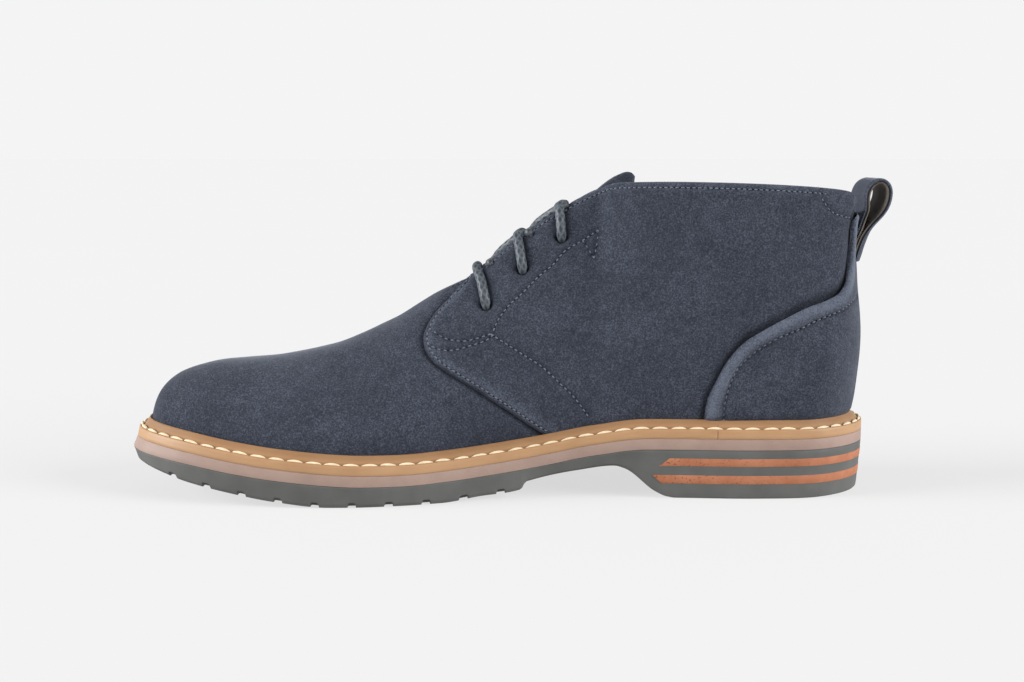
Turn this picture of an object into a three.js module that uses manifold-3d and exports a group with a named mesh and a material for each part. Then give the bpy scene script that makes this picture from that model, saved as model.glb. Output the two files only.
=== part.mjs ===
// A right chukka boot: a suede upper with three lace rows, on a layered welted sole.
// Millimetres, +Z up. The toe points to -X, the inner (medial) side of the foot is -Y.
// The origin is on the ground, under the middle of the boot's outer box.
import * as THREE from "three";
import { mergeVertices } from "three/addons/utils/BufferGeometryUtils.js";
import Module from "manifold-3d";

const wasm = await Module();
wasm.setup();

// ---- driving dimensions ----
const SOLE_LENGTH = 301.4;
const HEEL_X = 146.7; // the sole's rearmost point
const HEEL_Y = -2; // the heel's centre line
const HEEL_END_RADIUS = 33;
const TOE_END_RADIUS = 33;
const GAP = 0.3; // between pieces that touch
const WALL = 2.2; // leather with its lining
const MIDSOLE_THICK = 4.1;
const TREAD_DEPTH = 2;
const HEEL_DRAFT = 1.6; // how far the outsole's sides draw in at the ground
const WELT_SIDE = 3.6; // height of the welt's upright edge
const WELT_LIP = 6.9; // height of its raised lip, against the upper
const INSOLE_THICK = 3;
const TONGUE_THICK = 2.4;
const COUNTER_THICK = 1.6;
const LOOP_WIDTH = 25;
const LOOP_THICK = 2.2;
const LACE_RADIUS = 2;
const EYELET_RADIUS = 2.5;
const PLATE_STATIONS = 43;
const WALL_ROWS = 9;
const COLLAR_LEAN = 0.04; // the collar's fall from its medial to its lateral side
const ANGLE_STEP = 1e-6;
const MERGE_WITHIN = 1e-3; // points closer than this are one
const TINY = 0.02; // a section's distance from the sole's very end
const STATION_SPACE = 1.2; // least room between two sections of a plate
const LIP_THICK = 1; // the welt lip's top
const TOE_LEAN = 1.7; // how far the midsole and welt draw in towards their top at the toe
const TOE_LEAN_FROM = 225;
const WELT_BEVEL = 1.1;
const WELT_BEVEL_RISE = 0.7;

// A table's rows as objects, with its columns' names.
function table(columns, rows) {
  const names = columns.split(" ");
  return rows.map((row) => Object.fromEntries(names.map((name, i) => [name, row[i]])));
}

// The sole's outline from above: s runs from the heel's rear to the toe.
const SOLE_OUTLINE = table("s centre half", [
  [20, 0, 31],
  [48, 0, 35.6],
  [90, 0.6, 34.2],
  [124, 2.6, 35.2],
  [158, 4, 42.4],
  [188, 3, 51],
  [210, 2, 53.6],
  [236, -0.8, 50.2],
  [262, -4.8, 41.8],
  [284, -8.4, 29],
]);
const HEEL_CENTRE = 0;
const TOE_CENTRE = -11;

// Height of the seat that the welt and the upper stand on.
const SEAT = table("s z", [
  [0, 24.4],
  [92, 24.4],
  [114, 21.7],
  [133, 17.9],
  [152, 15.2],
  [170, 13.4],
  [190, 12.6],
  [205, 12.8],
  [238, 15.3],
  [257, 17.8],
  [276, 20.6],
  [SOLE_LENGTH, 23.4],
]);

// Underside of the outsole: heel block, sloping breast, arch, forefoot tread and toe spring.
const UNDERSIDE = table("s z", [
  [0, 0],
  [80, 0],
  [84, 0.6],
  [88, 2.4],
  [101, 12],
  [105, 13],
  [120, 11],
  [138, 7.2],
  [140, 6.6],
  [142, 3.6],
  [158, 1.7],
  [173, 0],
  [217, 0],
  [238, 1.9],
  [258, 5.1],
  [276, 8.4],
  [288, 11.2],
  [SOLE_LENGTH, 14.2],
]);
const FOREFOOT_START = 150;
const FOREFOOT_END = 292;
const LUG_PITCH = 14.6;
const LUG_SLOT = 3;
const LUG_REACH = 17;

// How far the upper's foot stands inside the sole's edge.
const MARGIN = table("s width", [
  [0, 7.9],
  [30, 6.8],
  [110, 6.6],
  [200, 7],
  [260, 7.2],
  [SOLE_LENGTH, 7.2],
]);

// Sections of the upper, heel to toe. Each side wall is a curve from its foot on the sole up
// to the topline, the throat's edge or the crest of the vamp. foot and top are distances from
// the heel's rear, half is from the crest's line to the wall's top, and the handles say how
// far the curve first swells out and up from its foot, and out and down from its top. turn is
// the way the top handle points: -90 to the rear, 0 to the side, 90 to the toe.
const UPPER = table("foot top z half crest footOut footUp topOut topDown turn steps", [
  [0, 4, 113.5, 0, 0, 13, 41, -6, 25, -90, 2],
  [5, 5.5, 114.5, 10.4, 0, 13, 41, -6, 25.5, -73, 2],
  [18, 9, 120.9, 19.4, 0, 12.6, 42, -3.5, 28, -20, 3],
  [45, 42, 124.1, 31, 0, 6.6, 34, 2, 36, -4, 3],
  [78, 76, 125.2, 29.6, 0, 5, 36, 3, 34, 0, 2],
  [96, 93, 125.4, 23.6, -0.5, 5, 38, 4, 26, 0, 2],
  [106, 104, 125.2, 15.6, -1, 5, 40, 6, 18, 0, 2],
  [113, 112, 122.4, 8.6, -1.4, 5, 40, 8, 12, 0, 3],
  [135, 135, 109.4, 7.6, -2.2, 5, 38, 9, 9, 0, 3],
  [155, 155, 94, 6.4, -3, 5, 34, 10, 6, 0, 2],
  [168, 168.5, 84.4, 5.2, -3.5, 5, 31, 11, 2, 0, 1],
  [171, 171.5, 83.2, 0, -3.6, 5, 30, 16, 0, 0, 3],
  [195, 195, 69.8, 0, -4.5, 5, 21, 21, 0, 0, 3],
  [220, 221, 58.9, 0, -5.6, 4.5, 14, 26, 0, 0, 3],
  [245, 245, 54.5, 0, -7, 4, 11, 25, 0, 0, 3],
  [268, 262, 53.6, 0, -8.6, 3, 12, 18.5, 0.4, 25, 3],
  [288, 270.5, 52, 0, -9.6, 1.6, 13.5, 13.6, 1.6, 58, 4],
  [SOLE_LENGTH, 275, 50.7, 0, -10, 0.8, 15, 12, 2.6, 90, 0],
]);

// The heel counter's upper edge, and the back strip that it runs into.
const COUNTER_EDGE = table("foot z", [
  [0, 102.4],
  [12.6, 102],
  [14, 98],
  [15, 93],
  [16.6, 88],
  [19.4, 83.6],
  [24, 80.4],
  [31, 77],
  [40, 72.4],
  [48.4, 67.3],
  [55, 62.6],
  [61, 55.5],
  [65.4, 47.5],
  [68.4, 40],
  [69.8, 34.5],
]);
const COUNTER_ROWS = 6;

// Orange inlays let into the heel block's side, by height.
const STRIPES = table("name low high topEnd bottomEnd", [
  ["heel_stripe_upper", 13.3, 16.5, 83, 87],
  ["heel_stripe_lower", 6.1, 9.6, 89.5, 86],
]);
const STRIPE_DEPTH = 2.4;
const STRIPE_STATIONS = 26;
const STRIPE_END_GAP = 1;

// Centre line of the pull loop's strap: up the back of the collar, over, and down again.
const LOOP_PATH = table("s z", [
  [2.5, 107],
  [2.5, 111],
  [2.1, 115],
  [1.8, 121],
  [0, 124.6],
  [-3.3, 126.1],
  [-6, 124.6],
  [-6.9, 121.5],
  [-6.2, 117.5],
  [-4.3, 113.6],
  [-1.9, 109.8],
  [-0.4, 106.5],
  [0.7, 102.8],
]);
const LOOP_WRAP = 3.2; // how far its edges follow the round of the heel, low down
const LOOP_FLAT_ABOVE = 116;
const LOOP_ROUND_BELOW = 102;
const LOOP_STEPS = 20;

// Lace rows, lowest first: where each row's eyelets lie, how far below the throat's edge, and
// how far the lace comes back towards the toe as it climbs to that edge.
const LACE_ROWS = table("s drop lean", [
  [156.2, 15.4, 4],
  [141.6, 13.4, 1.6],
  [125.8, 11.6, 0.4],
]);
const LACE_STEPS = 16;
const LACE_SIDES = 8;
const LACE_CLEAR = 2.6; // from a lace's centre line to the leather under it
const CROSSING_HEIGHT = 1.4; // of the upper lace above the lower one
const TUCK_AHEAD = 3; // how far towards the toe a crossing lace ends
const TUCK_SHORT = 3.4; // and how far short of the facing's edge

const COLOURS = {
  suede: 0x3f434f,
  lining: 0x73695f,
  tan: 0xb9966f,
  pink: 0x9f8779,
  rubber: 0x5d5d5b,
  orange: 0xbe7350,
  lace: 0x69737d,
};

// ---- curves ----
// A smooth curve through a table's rows that never swings past them.
function along(rows, across, column, position) {
  const last = rows.length - 1;
  if (position <= rows[0][across]) return rows[0][column];
  if (position >= rows[last][across]) return rows[last][column];
  let i = 0;
  while (rows[i + 1][across] < position) i += 1;
  const slopeAfter = (k) =>
    (rows[k + 1][column] - rows[k][column]) / (rows[k + 1][across] - rows[k][across]);
  const slopeAt = (k) => {
    if (k === 0) return slopeAfter(0);
    if (k === last) return slopeAfter(last - 1);
    const before = slopeAfter(k - 1);
    const after = slopeAfter(k);
    if (before * after <= 0) return 0;
    const left = rows[k][across] - rows[k - 1][across];
    const right = rows[k + 1][across] - rows[k][across];
    const weight = 3 * (left + right);
    return weight / ((2 * right + left) / before + (right + 2 * left) / after);
  };
  const width = rows[i + 1][across] - rows[i][across];
  const u = (position - rows[i][across]) / width;
  const a = slopeAt(i) * width;
  const b = slopeAt(i + 1) * width;
  const rise = rows[i + 1][column] - rows[i][column];
  return rows[i][column] + u * a + u * u * (3 * rise - 2 * a - b) + u * u * u * (a + b - 2 * rise);
}

const angleOf = (s) => Math.acos(1 - (2 * s) / SOLE_LENGTH);
const stationOf = (angle) => (SOLE_LENGTH / 2) * (1 - Math.cos(angle));

// The outline's half widths divided by the sine of their angle: this keeps both ends round.
const roundEnd = (radius) => Math.sqrt((radius * SOLE_LENGTH) / 2);
const OUTLINE = [
  { angle: 0, centre: HEEL_CENTRE, swell: roundEnd(HEEL_END_RADIUS) },
  ...SOLE_OUTLINE.map((row) => ({
    angle: angleOf(row.s),
    centre: row.centre,
    swell: row.half / Math.sin(angleOf(row.s)),
  })),
  { angle: Math.PI, centre: TOE_CENTRE, swell: roundEnd(TOE_END_RADIUS) },
];

// The sole's edge: angle 0 is the heel's rear, -PI and PI the toe, medial side negative.
function soleEdge(angle, inset = 0) {
  const place = (a) => {
    const turned = Math.abs(a) > Math.PI ? 2 * Math.PI - Math.abs(a) : Math.abs(a);
    const side = Math.abs(a) > Math.PI ? -Math.sign(a) : Math.sign(a);
    const swell = along(OUTLINE, "angle", "swell", turned);
    const y = along(OUTLINE, "angle", "centre", turned) + side * swell * Math.sin(turned);
    return new THREE.Vector2(HEEL_X - stationOf(turned), HEEL_Y + y);
  };
  const step = 0.004;
  const run = place(angle + step).sub(place(angle - step)).normalize();
  const outward = new THREE.Vector2(run.y, -run.x);
  return { at: place(angle).addScaledVector(outward, -inset), outward };
}

const seatAt = (s) => along(SEAT, "s", "z", s);
const undersideAt = (s) => along(UNDERSIDE, "s", "z", s);
const marginAt = (s) => along(MARGIN, "s", "width", s);

// ---- the upper's wall ----
const UPPER_BY_ANGLE = UPPER.map((row) => ({ ...row, angle: angleOf(row.foot) }));

function section(angle) {
  const row = {};
  for (const column of Object.keys(UPPER[0])) {
    row[column] = along(UPPER_BY_ANGLE, "angle", column, Math.abs(angle));
  }
  return row;
}

// A point on the wall's outer face: t is 0 at the foot and 1 at the top.
function wallPoint(angle, t) {
  const row = section(angle);
  const side = Math.sign(angle);
  const foot = soleEdge(angle, marginAt(row.foot));
  const turn = THREE.MathUtils.degToRad(row.turn);
  const p0 = new THREE.Vector3(foot.at.x, foot.at.y, seatAt(row.foot) + GAP);
  const p1 = p0.clone();
  p1.x += foot.outward.x * row.footOut;
  p1.y += foot.outward.y * row.footOut;
  p1.z += row.footUp;
  const p3 = new THREE.Vector3(HEEL_X - row.top, HEEL_Y + row.crest + side * row.half, row.z);
  p3.z -= side * COLLAR_LEAN * row.half;
  const p2 = p3.clone();
  p2.x -= row.topOut * Math.sin(turn);
  p2.y += side * row.topOut * Math.cos(turn);
  p2.z -= row.topDown;
  return new THREE.CubicBezierCurve3(p0, p1, p2, p3).getPoint(t);
}

function heightOnWall(angle, z) {
  let low = 0;
  let high = 1;
  for (let i = 0; i < 30; i += 1) {
    const middle = (low + high) / 2;
    if (wallPoint(angle, middle).z < z) low = middle;
    else high = middle;
  }
  return low;
}

// ---- meshes ----
// A grid of points as triangles, columns running anticlockwise from above and rows upwards.
function gridGeometry(grid) {
  const positions = grid.flat().flatMap((p) => [p.x, p.y, p.z]);
  const rows = grid[0].length;
  const index = [];
  for (let i = 0; i + 1 < grid.length; i += 1) {
    for (let j = 0; j + 1 < rows; j += 1) {
      const a = i * rows + j;
      const b = a + rows;
      index.push(a, b, b + 1, a, b + 1, a + 1);
    }
  }
  const geometry = new THREE.BufferGeometry();
  geometry.setAttribute("position", new THREE.Float32BufferAttribute(positions, 3));
  geometry.setIndex(index);
  return withoutSlivers(mergeVertices(geometry, MERGE_WITHIN));
}

function withoutSlivers(geometry) {
  const kept = [];
  const index = geometry.index.array;
  for (let i = 0; i < index.length; i += 3) {
    const [a, b, c] = [index[i], index[i + 1], index[i + 2]];
    if (a !== b && b !== c && c !== a) kept.push(a, b, c);
  }
  geometry.setIndex(kept);
  return geometry;
}

// A closed solid between two offsets of an open surface, with its rims walled in.
function thicken(surface, inner, outer) {
  surface.computeVertexNormals();
  const position = surface.attributes.position;
  const normal = surface.attributes.normal;
  const count = position.count;
  const points = [];
  for (const offset of [outer, inner]) {
    for (let i = 0; i < count; i += 1) {
      points.push(position.getX(i) + offset * normal.getX(i));
      points.push(position.getY(i) + offset * normal.getY(i));
      points.push(position.getZ(i) + offset * normal.getZ(i));
    }
  }
  const faces = Array.from(surface.index.array);
  const index = [...faces];
  const edges = new Set();
  for (let i = 0; i < faces.length; i += 3) {
    const [a, b, c] = faces.slice(i, i + 3);
    index.push(a + count, c + count, b + count);
    for (const [from, to] of [[a, b], [b, c], [c, a]]) edges.add(`${from},${to}`);
  }
  for (const edge of edges) {
    const [from, to] = edge.split(",").map(Number);
    if (edges.has(`${to},${from}`)) continue;
    index.push(to, from, from + count, to, from + count, to + count);
  }
  const solid = new THREE.BufferGeometry();
  solid.setAttribute("position", new THREE.Float32BufferAttribute(points, 3));
  solid.setIndex(index);
  return solid;
}

// A solid through closed rings of points; joined rings close on the first one again.
function loft(rings, joined) {
  const size = rings[0].length;
  const positions = rings.flat().flatMap((p) => [p.x, p.y, p.z]);
  const index = [];
  const spans = joined ? rings.length : rings.length - 1;
  for (let i = 0; i < spans; i += 1) {
    for (let j = 0; j < size; j += 1) {
      const a = i * size + j;
      const b = i * size + ((j + 1) % size);
      const c = ((i + 1) % rings.length) * size + j;
      const d = ((i + 1) % rings.length) * size + ((j + 1) % size);
      index.push(a, c, d, a, d, b);
    }
  }
  if (!joined) {
    const end = (rings.length - 1) * size;
    for (let j = 1; j + 1 < size; j += 1) {
      index.push(0, j, j + 1);
      index.push(end, end + j + 1, end + j);
    }
  }
  const geometry = new THREE.BufferGeometry();
  geometry.setAttribute("position", new THREE.Float32BufferAttribute(positions, 3));
  geometry.setIndex(index);
  return geometry;
}

function toSolid(geometry) {
  const bare = geometry.clone();
  bare.deleteAttribute("normal");
  bare.deleteAttribute("uv");
  const merged = mergeVertices(bare, MERGE_WITHIN / 10);
  return new wasm.Manifold(
    new wasm.Mesh({
      numProp: 3,
      vertProperties: new Float32Array(merged.attributes.position.array),
      triVerts: new Uint32Array(merged.index.array),
    }),
  );
}

function toGeometry(solid) {
  const mesh = solid.getMesh();
  const geometry = new THREE.BufferGeometry();
  geometry.setAttribute("position", new THREE.Float32BufferAttribute(mesh.vertProperties, 3));
  geometry.setIndex(Array.from(mesh.triVerts));
  return geometry;
}

const boot = new THREE.Group();

function addPiece(name, geometry, colour, roughness) {
  const flat = geometry.index ? geometry.toNonIndexed() : geometry;
  flat.computeVertexNormals();
  const material = new THREE.MeshStandardMaterial({ color: colour, roughness, metalness: 0 });
  const mesh = new THREE.Mesh(flat, material);
  mesh.name = name;
  boot.add(mesh);
}

// ---- the sole ----
// Stations along the sole: an even fan of angles, with a table's own rows kept sharp.
function soleStations(rows) {
  const stations = [];
  for (let i = 1; i < PLATE_STATIONS; i += 1) {
    stations.push(stationOf((Math.PI * i) / PLATE_STATIONS));
  }
  const own = rows.map((row) => row.s).filter((s) => s > 1 && s < SOLE_LENGTH - 1);
  const clear = stations.filter((s) => own.every((kept) => Math.abs(kept - s) > STATION_SPACE));
  return [...clear, ...own].sort((a, b) => a - b);
}

// A plate with the sole's outline, between two heights that depend on the station alone.
function plate(inset, bottomAt, topAt, rows, draft) {
  const rings = [];
  for (const s of [TINY, ...soleStations(rows), SOLE_LENGTH - TINY]) {
    const angle = angleOf(s);
    const corner = (side, extra, z) => {
      const { at } = soleEdge(side * angle, inset(s) + extra);
      return new THREE.Vector3(at.x, at.y, z);
    };
    rings.push([
      corner(-1, 0, topAt(s)),
      corner(-1, draft(s), bottomAt(s)),
      corner(1, draft(s), bottomAt(s)),
      corner(1, 0, topAt(s)),
    ]);
  }
  return loft(rings, false);
}

const outsoleTop = (s) => seatAt(s) - MIDSOLE_THICK - GAP;
const toeLean = (s) => TOE_LEAN * THREE.MathUtils.smoothstep(s, TOE_LEAN_FROM, SOLE_LENGTH);

function midsole() {
  return plate(toeLean, (s) => seatAt(s) - MIDSOLE_THICK, seatAt, SEAT, (s) => -toeLean(s));
}

function lugSlots() {
  const slots = [];
  for (let s = FOREFOOT_START; s < FOREFOOT_END; s += LUG_PITCH) {
    for (const side of [-1, 1]) {
      const { at, outward } = soleEdge(side * angleOf(s));
      const slot = new THREE.BoxGeometry(LUG_REACH * 2, LUG_SLOT, 2 * TREAD_DEPTH);
      slot.rotateZ(Math.atan2(outward.y, outward.x));
      slot.translate(at.x, at.y, undersideAt(s));
      slots.push(toSolid(slot));
    }
  }
  return slots;
}

// A band let into the heel block's side: a narrow loft round the heel's rear.
function stripeBand(stripe, deep, over, outside) {
  const rings = [];
  const ends = over > 0 ? STRIPE_END_GAP : 0;
  const topAngle = angleOf(stripe.topEnd + ends);
  const bottomAngle = angleOf(stripe.bottomEnd + ends);
  for (let i = 0; i <= STRIPE_STATIONS; i += 1) {
    const share = (2 * i) / STRIPE_STATIONS - 1;
    const corner = (angle, inset, z) => {
      const drawnIn = HEEL_DRAFT * (1 - z / outsoleTop(0));
      const { at } = soleEdge(share * angle, drawnIn + inset);
      return new THREE.Vector3(at.x, at.y, z);
    };
    rings.push([
      corner(topAngle, -outside, stripe.high + over),
      corner(topAngle, deep, stripe.high + over),
      corner(bottomAngle, deep, stripe.low - over),
      corner(bottomAngle, -outside, stripe.low - over),
    ]);
  }
  return loft(rings, false);
}

function outsole() {
  let solid = toSolid(plate(() => 0, undersideAt, outsoleTop, UNDERSIDE, () => HEEL_DRAFT));
  for (const slot of lugSlots()) solid = solid.subtract(slot);
  for (const stripe of STRIPES) {
    solid = solid.subtract(toSolid(stripeBand(stripe, STRIPE_DEPTH + GAP, GAP, 2)));
  }
  return toGeometry(solid);
}

// The welt's section: upright edge, then a slope up to the lip that hugs the upper.
function welt() {
  const rings = [];
  for (const angle of wallAngles().slice(1)) {
    const s = stationOf(Math.abs(angle));
    const seat = seatAt(s) + GAP;
    const { at, outward } = soleEdge(angle);
    const outer = (inset, height) => {
      const drawnIn = inset + toeLean(s) * (1 + height / (2 * WELT_SIDE));
      return new THREE.Vector3(at.x - outward.x * drawnIn, at.y - outward.y * drawnIn, seat + height);
    };
    const inner = (height, lead) => {
      const point = wallPoint(angle, heightOnWall(angle, seat + height));
      point.x += outward.x * lead;
      point.y += outward.y * lead;
      point.z = seat + height;
      return point;
    };
    rings.push([
      outer(0, 0),
      outer(0, WELT_SIDE),
      outer(WELT_BEVEL, WELT_SIDE + WELT_BEVEL_RISE),
      inner(WELT_LIP, GAP + LIP_THICK),
      inner(WELT_LIP, GAP),
      inner(WELT_SIDE, GAP),
      inner(0, GAP),
    ]);
  }
  return loft(rings, true);
}

// ---- the upper ----
function wallAngles() {
  const medial = [];
  UPPER_BY_ANGLE.forEach((row, i) => {
    const next = UPPER_BY_ANGLE[i + 1];
    for (let k = 0; k < row.steps; k += 1) {
      medial.push(row.angle + ((next.angle - row.angle) * k) / row.steps);
    }
  });
  const lateral = [...medial, Math.PI];
  return [...lateral.slice(1).reverse().map((angle) => -angle), ...lateral];
}

// The wall's points on one column, from a given row up.
function wallColumn(angle, firstRow = 0) {
  const column = [];
  for (let j = firstRow; j <= WALL_ROWS; j += 1) column.push(wallPoint(angle, j / WALL_ROWS));
  return column;
}

const upperSurface = () => gridGeometry(wallAngles().map((angle) => wallColumn(angle)));

function outwardAt(angle, t) {
  const step = 0.01;
  const run = wallPoint(angle + step, t).sub(wallPoint(angle - step, t));
  const climb = wallPoint(angle, Math.min(t + step, 1)).sub(wallPoint(angle, t - step));
  return run.cross(climb).normalize();
}

const wallAngleAt = (topStation) => {
  let low = 0;
  let high = Math.PI;
  while (high - low > ANGLE_STEP) {
    const middle = (low + high) / 2;
    if (section(middle).top < topStation) low = middle;
    else high = middle;
  }
  return low;
};

function eyelet(row, side) {
  const angle = side * wallAngleAt(row.s);
  const t = heightOnWall(angle, section(angle).z - row.drop);
  return { angle, t, at: wallPoint(angle, t), outward: outwardAt(angle, t) };
}

function upper() {
  let solid = toSolid(thicken(upperSurface(), -WALL, 0));
  for (const row of LACE_ROWS) {
    for (const side of [-1, 1]) {
      const { at, outward } = eyelet(row, side);
      const punch = new THREE.CylinderGeometry(EYELET_RADIUS, EYELET_RADIUS, 5 * WALL, 16);
      const turn = new THREE.Quaternion().setFromUnitVectors(new THREE.Vector3(0, 1, 0), outward);
      punch.applyQuaternion(turn);
      punch.translate(at.x, at.y, at.z);
      solid = solid.subtract(toSolid(punch));
    }
  }
  return toGeometry(solid);
}

// The tongue lies under the facings, bridges the throat and stands above the collar.
const TONGUE = {
  from: 111, // its highest and lowest columns, by the station of their tops
  to: 190,
  lowRow: 6,
  space: 0.9, // to the upper's lining
  crown: -0.15, // the middle's fall, as a share of the throat's half width
  reach: 10, // of the free end
  rise: 7,
  top: 0.78, // the free end's width, as a share of the throat's
};

function tongue() {
  const angles = wallAngles().filter(
    (angle) => angle > 0 && section(angle).top > TONGUE.from && section(angle).top < TONGUE.to,
  );
  const grid = angles.reverse().map((angle) => {
    const medial = wallColumn(-angle, TONGUE.lowRow);
    const lateral = wallColumn(angle, TONGUE.lowRow).reverse();
    const middle = lateral[0].clone().add(medial[medial.length - 1]).multiplyScalar(0.5);
    middle.z += TONGUE.crown * section(angle).half;
    return [...medial, middle, ...lateral];
  });
  const last = grid[grid.length - 1];
  const middle = last[(last.length - 1) / 2];
  for (const share of [0.5, 1]) {
    const narrow = 1 + (TONGUE.top - 1) * share;
    grid.push(
      last.map((point) => {
        const moved = point.clone();
        moved.x += TONGUE.reach * share;
        moved.y = middle.y + (point.y - middle.y) * narrow;
        moved.z += TONGUE.rise * share;
        return moved;
      }),
    );
  }
  const outer = -(WALL + TONGUE.space);
  return thicken(gridGeometry(grid), outer - TONGUE_THICK, outer);
}

// The counter is cut from a shell over the upper by a deeper block with the counter's outline.
function counter() {
  const lateral = COUNTER_EDGE.map((row) => angleOf(row.foot));
  const angles = [...lateral.slice(1).reverse().map((angle) => -angle), ...lateral];
  const grid = angles.map((angle) => {
    const s = stationOf(Math.abs(angle));
    const low = heightOnWall(angle, seatAt(s) + WELT_LIP + 4 * GAP);
    const high = heightOnWall(angle, along(COUNTER_EDGE, "foot", "z", s));
    return Array.from({ length: COUNTER_ROWS + 1 }, (_, j) =>
      wallPoint(angle, low + ((high - low) * j) / COUNTER_ROWS),
    );
  });
  const block = toSolid(thicken(gridGeometry(grid), -COUNTER_THICK, 3 * COUNTER_THICK));
  const shell = toSolid(thicken(upperSurface(), GAP, GAP + COUNTER_THICK));
  return toGeometry(shell.intersect(block));
}

function insole() {
  const inset = (s) => marginAt(s) + WALL + 2 * GAP;
  const bottom = (s) => seatAt(s) + GAP;
  const top = (s) => seatAt(s) + GAP + INSOLE_THICK;
  return plate(inset, bottom, top, SEAT, () => 0);
}

// ---- pull loop ----
function pullLoop() {
  const path = new THREE.SplineCurve(
    LOOP_PATH.map((row) => new THREE.Vector2(HEEL_X - row.s, row.z)),
  );
  const thick = LOOP_THICK / 2;
  const rings = [];
  for (let i = 0; i <= LOOP_STEPS; i += 1) {
    const at = path.getPointAt(i / LOOP_STEPS);
    const run = path.getTangentAt(i / LOOP_STEPS);
    const flat = THREE.MathUtils.smoothstep(at.y, LOOP_ROUND_BELOW, LOOP_FLAT_ABOVE);
    const corner = (across, out) =>
      new THREE.Vector3(
        at.x + run.y * out - LOOP_WRAP * (1 - flat) * across ** 2,
        HEEL_Y + (LOOP_WIDTH / 2) * across,
        at.y - run.x * out,
      );
    rings.push([
      corner(-1, thick),
      corner(-1, -thick),
      corner(0, -thick),
      corner(1, -thick),
      corner(1, thick),
      corner(0, thick),
    ]);
  }
  return loft(rings, false);
}

// ---- laces ----
// A tube through points, each on or above the wall.
function tube(points) {
  const curve = new THREE.CatmullRomCurve3(points);
  const shape = new THREE.Shape(
    Array.from({ length: LACE_SIDES }, (_, i) => {
      const turn = (2 * Math.PI * i) / LACE_SIDES;
      return new THREE.Vector2(LACE_RADIUS * Math.cos(turn), LACE_RADIUS * Math.sin(turn));
    }),
  );
  return new THREE.ExtrudeGeometry(shape, { steps: LACE_STEPS, extrudePath: curve });
}

// Points of a lace that leaves an eyelet, climbs the facing and goes over the throat's edge.
function climb(row, side) {
  const start = eyelet(row, side);
  const points = [0, 0.4, 0.8].map((share) => {
    const angle = side * wallAngleAt(row.s + row.lean * share);
    const t = start.t + (1 - start.t) * share;
    return wallPoint(angle, t).addScaledVector(outwardAt(angle, t), LACE_CLEAR);
  });
  const edge = side * wallAngleAt(row.s + row.lean);
  const over = wallPoint(edge, 1).addScaledVector(outwardAt(edge, 1), LACE_CLEAR / 2);
  over.z += 0.7 * LACE_CLEAR;
  return [...points, over];
}

function straightBar(row) {
  return tube([...climb(row, -1), ...climb(row, 1).reverse()]);
}

// Two laces that cross in the throat. The one from the medial eyelets lies on top.
function crossing(row, lower) {
  const run = (side, height) => {
    const middle = (row.s + row.lean + lower.s) / 2;
    const edge = wallAngleAt(middle);
    const centre = wallPoint(edge, 1).add(wallPoint(-edge, 1)).multiplyScalar(0.5);
    centre.z += height;
    const tuck = wallPoint(-side * wallAngleAt(middle + TUCK_AHEAD), 1);
    tuck.y += TUCK_SHORT * side;
    tuck.z += height / 2;
    return toSolid(tube([...climb(row, side), centre, tuck]));
  };
  return toGeometry(run(-1, CROSSING_HEIGHT).add(run(1, 0)));
}

addPiece("outsole", outsole(), COLOURS.rubber, 0.85);
addPiece("midsole", midsole(), COLOURS.pink, 0.8);
addPiece("welt", welt(), COLOURS.tan, 0.7);
addPiece("insole", insole(), COLOURS.lining, 0.9);
addPiece("upper", upper(), COLOURS.suede, 0.95);
addPiece("tongue", tongue(), COLOURS.suede, 0.95);
addPiece("heel_counter", counter(), COLOURS.suede, 0.95);
addPiece("pull_loop", pullLoop(), COLOURS.suede, 0.95);
for (const stripe of STRIPES) {
  addPiece(stripe.name, stripeBand(stripe, STRIPE_DEPTH, 0, 0), COLOURS.orange, 0.8);
}
addPiece("lace_bar_1", straightBar(LACE_ROWS[0]), COLOURS.lace, 0.7);
addPiece("lace_crossing_2", crossing(LACE_ROWS[1], LACE_ROWS[0]), COLOURS.lace, 0.7);
addPiece("lace_crossing_3", crossing(LACE_ROWS[2], LACE_ROWS[1]), COLOURS.lace, 0.7);

export default boot;
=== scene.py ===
import math

import bpy
import numpy as np
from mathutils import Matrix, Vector


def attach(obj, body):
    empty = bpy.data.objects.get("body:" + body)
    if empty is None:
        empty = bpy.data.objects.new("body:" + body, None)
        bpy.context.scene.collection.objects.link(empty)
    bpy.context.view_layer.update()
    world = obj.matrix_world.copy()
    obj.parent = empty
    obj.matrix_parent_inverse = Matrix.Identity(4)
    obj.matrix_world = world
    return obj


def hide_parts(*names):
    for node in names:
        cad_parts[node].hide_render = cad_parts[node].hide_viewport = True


# A right chukka boot in navy suede on a layered, welted sole.
# Lengths are in millimetres, in the frame of the CAD part, until a mesh is made.
# The toe points to -X and the inner (medial) side of the foot is -Y. A place on the boot is
# told by its station, the distance s from the heel's rear, and by its height z.

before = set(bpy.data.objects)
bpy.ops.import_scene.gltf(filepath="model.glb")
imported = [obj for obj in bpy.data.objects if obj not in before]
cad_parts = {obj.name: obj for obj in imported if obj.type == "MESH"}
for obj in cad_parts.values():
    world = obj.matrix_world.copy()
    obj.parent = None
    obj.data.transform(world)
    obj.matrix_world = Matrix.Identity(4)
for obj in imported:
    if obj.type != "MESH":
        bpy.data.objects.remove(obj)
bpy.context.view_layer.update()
MM = 0.001

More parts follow.
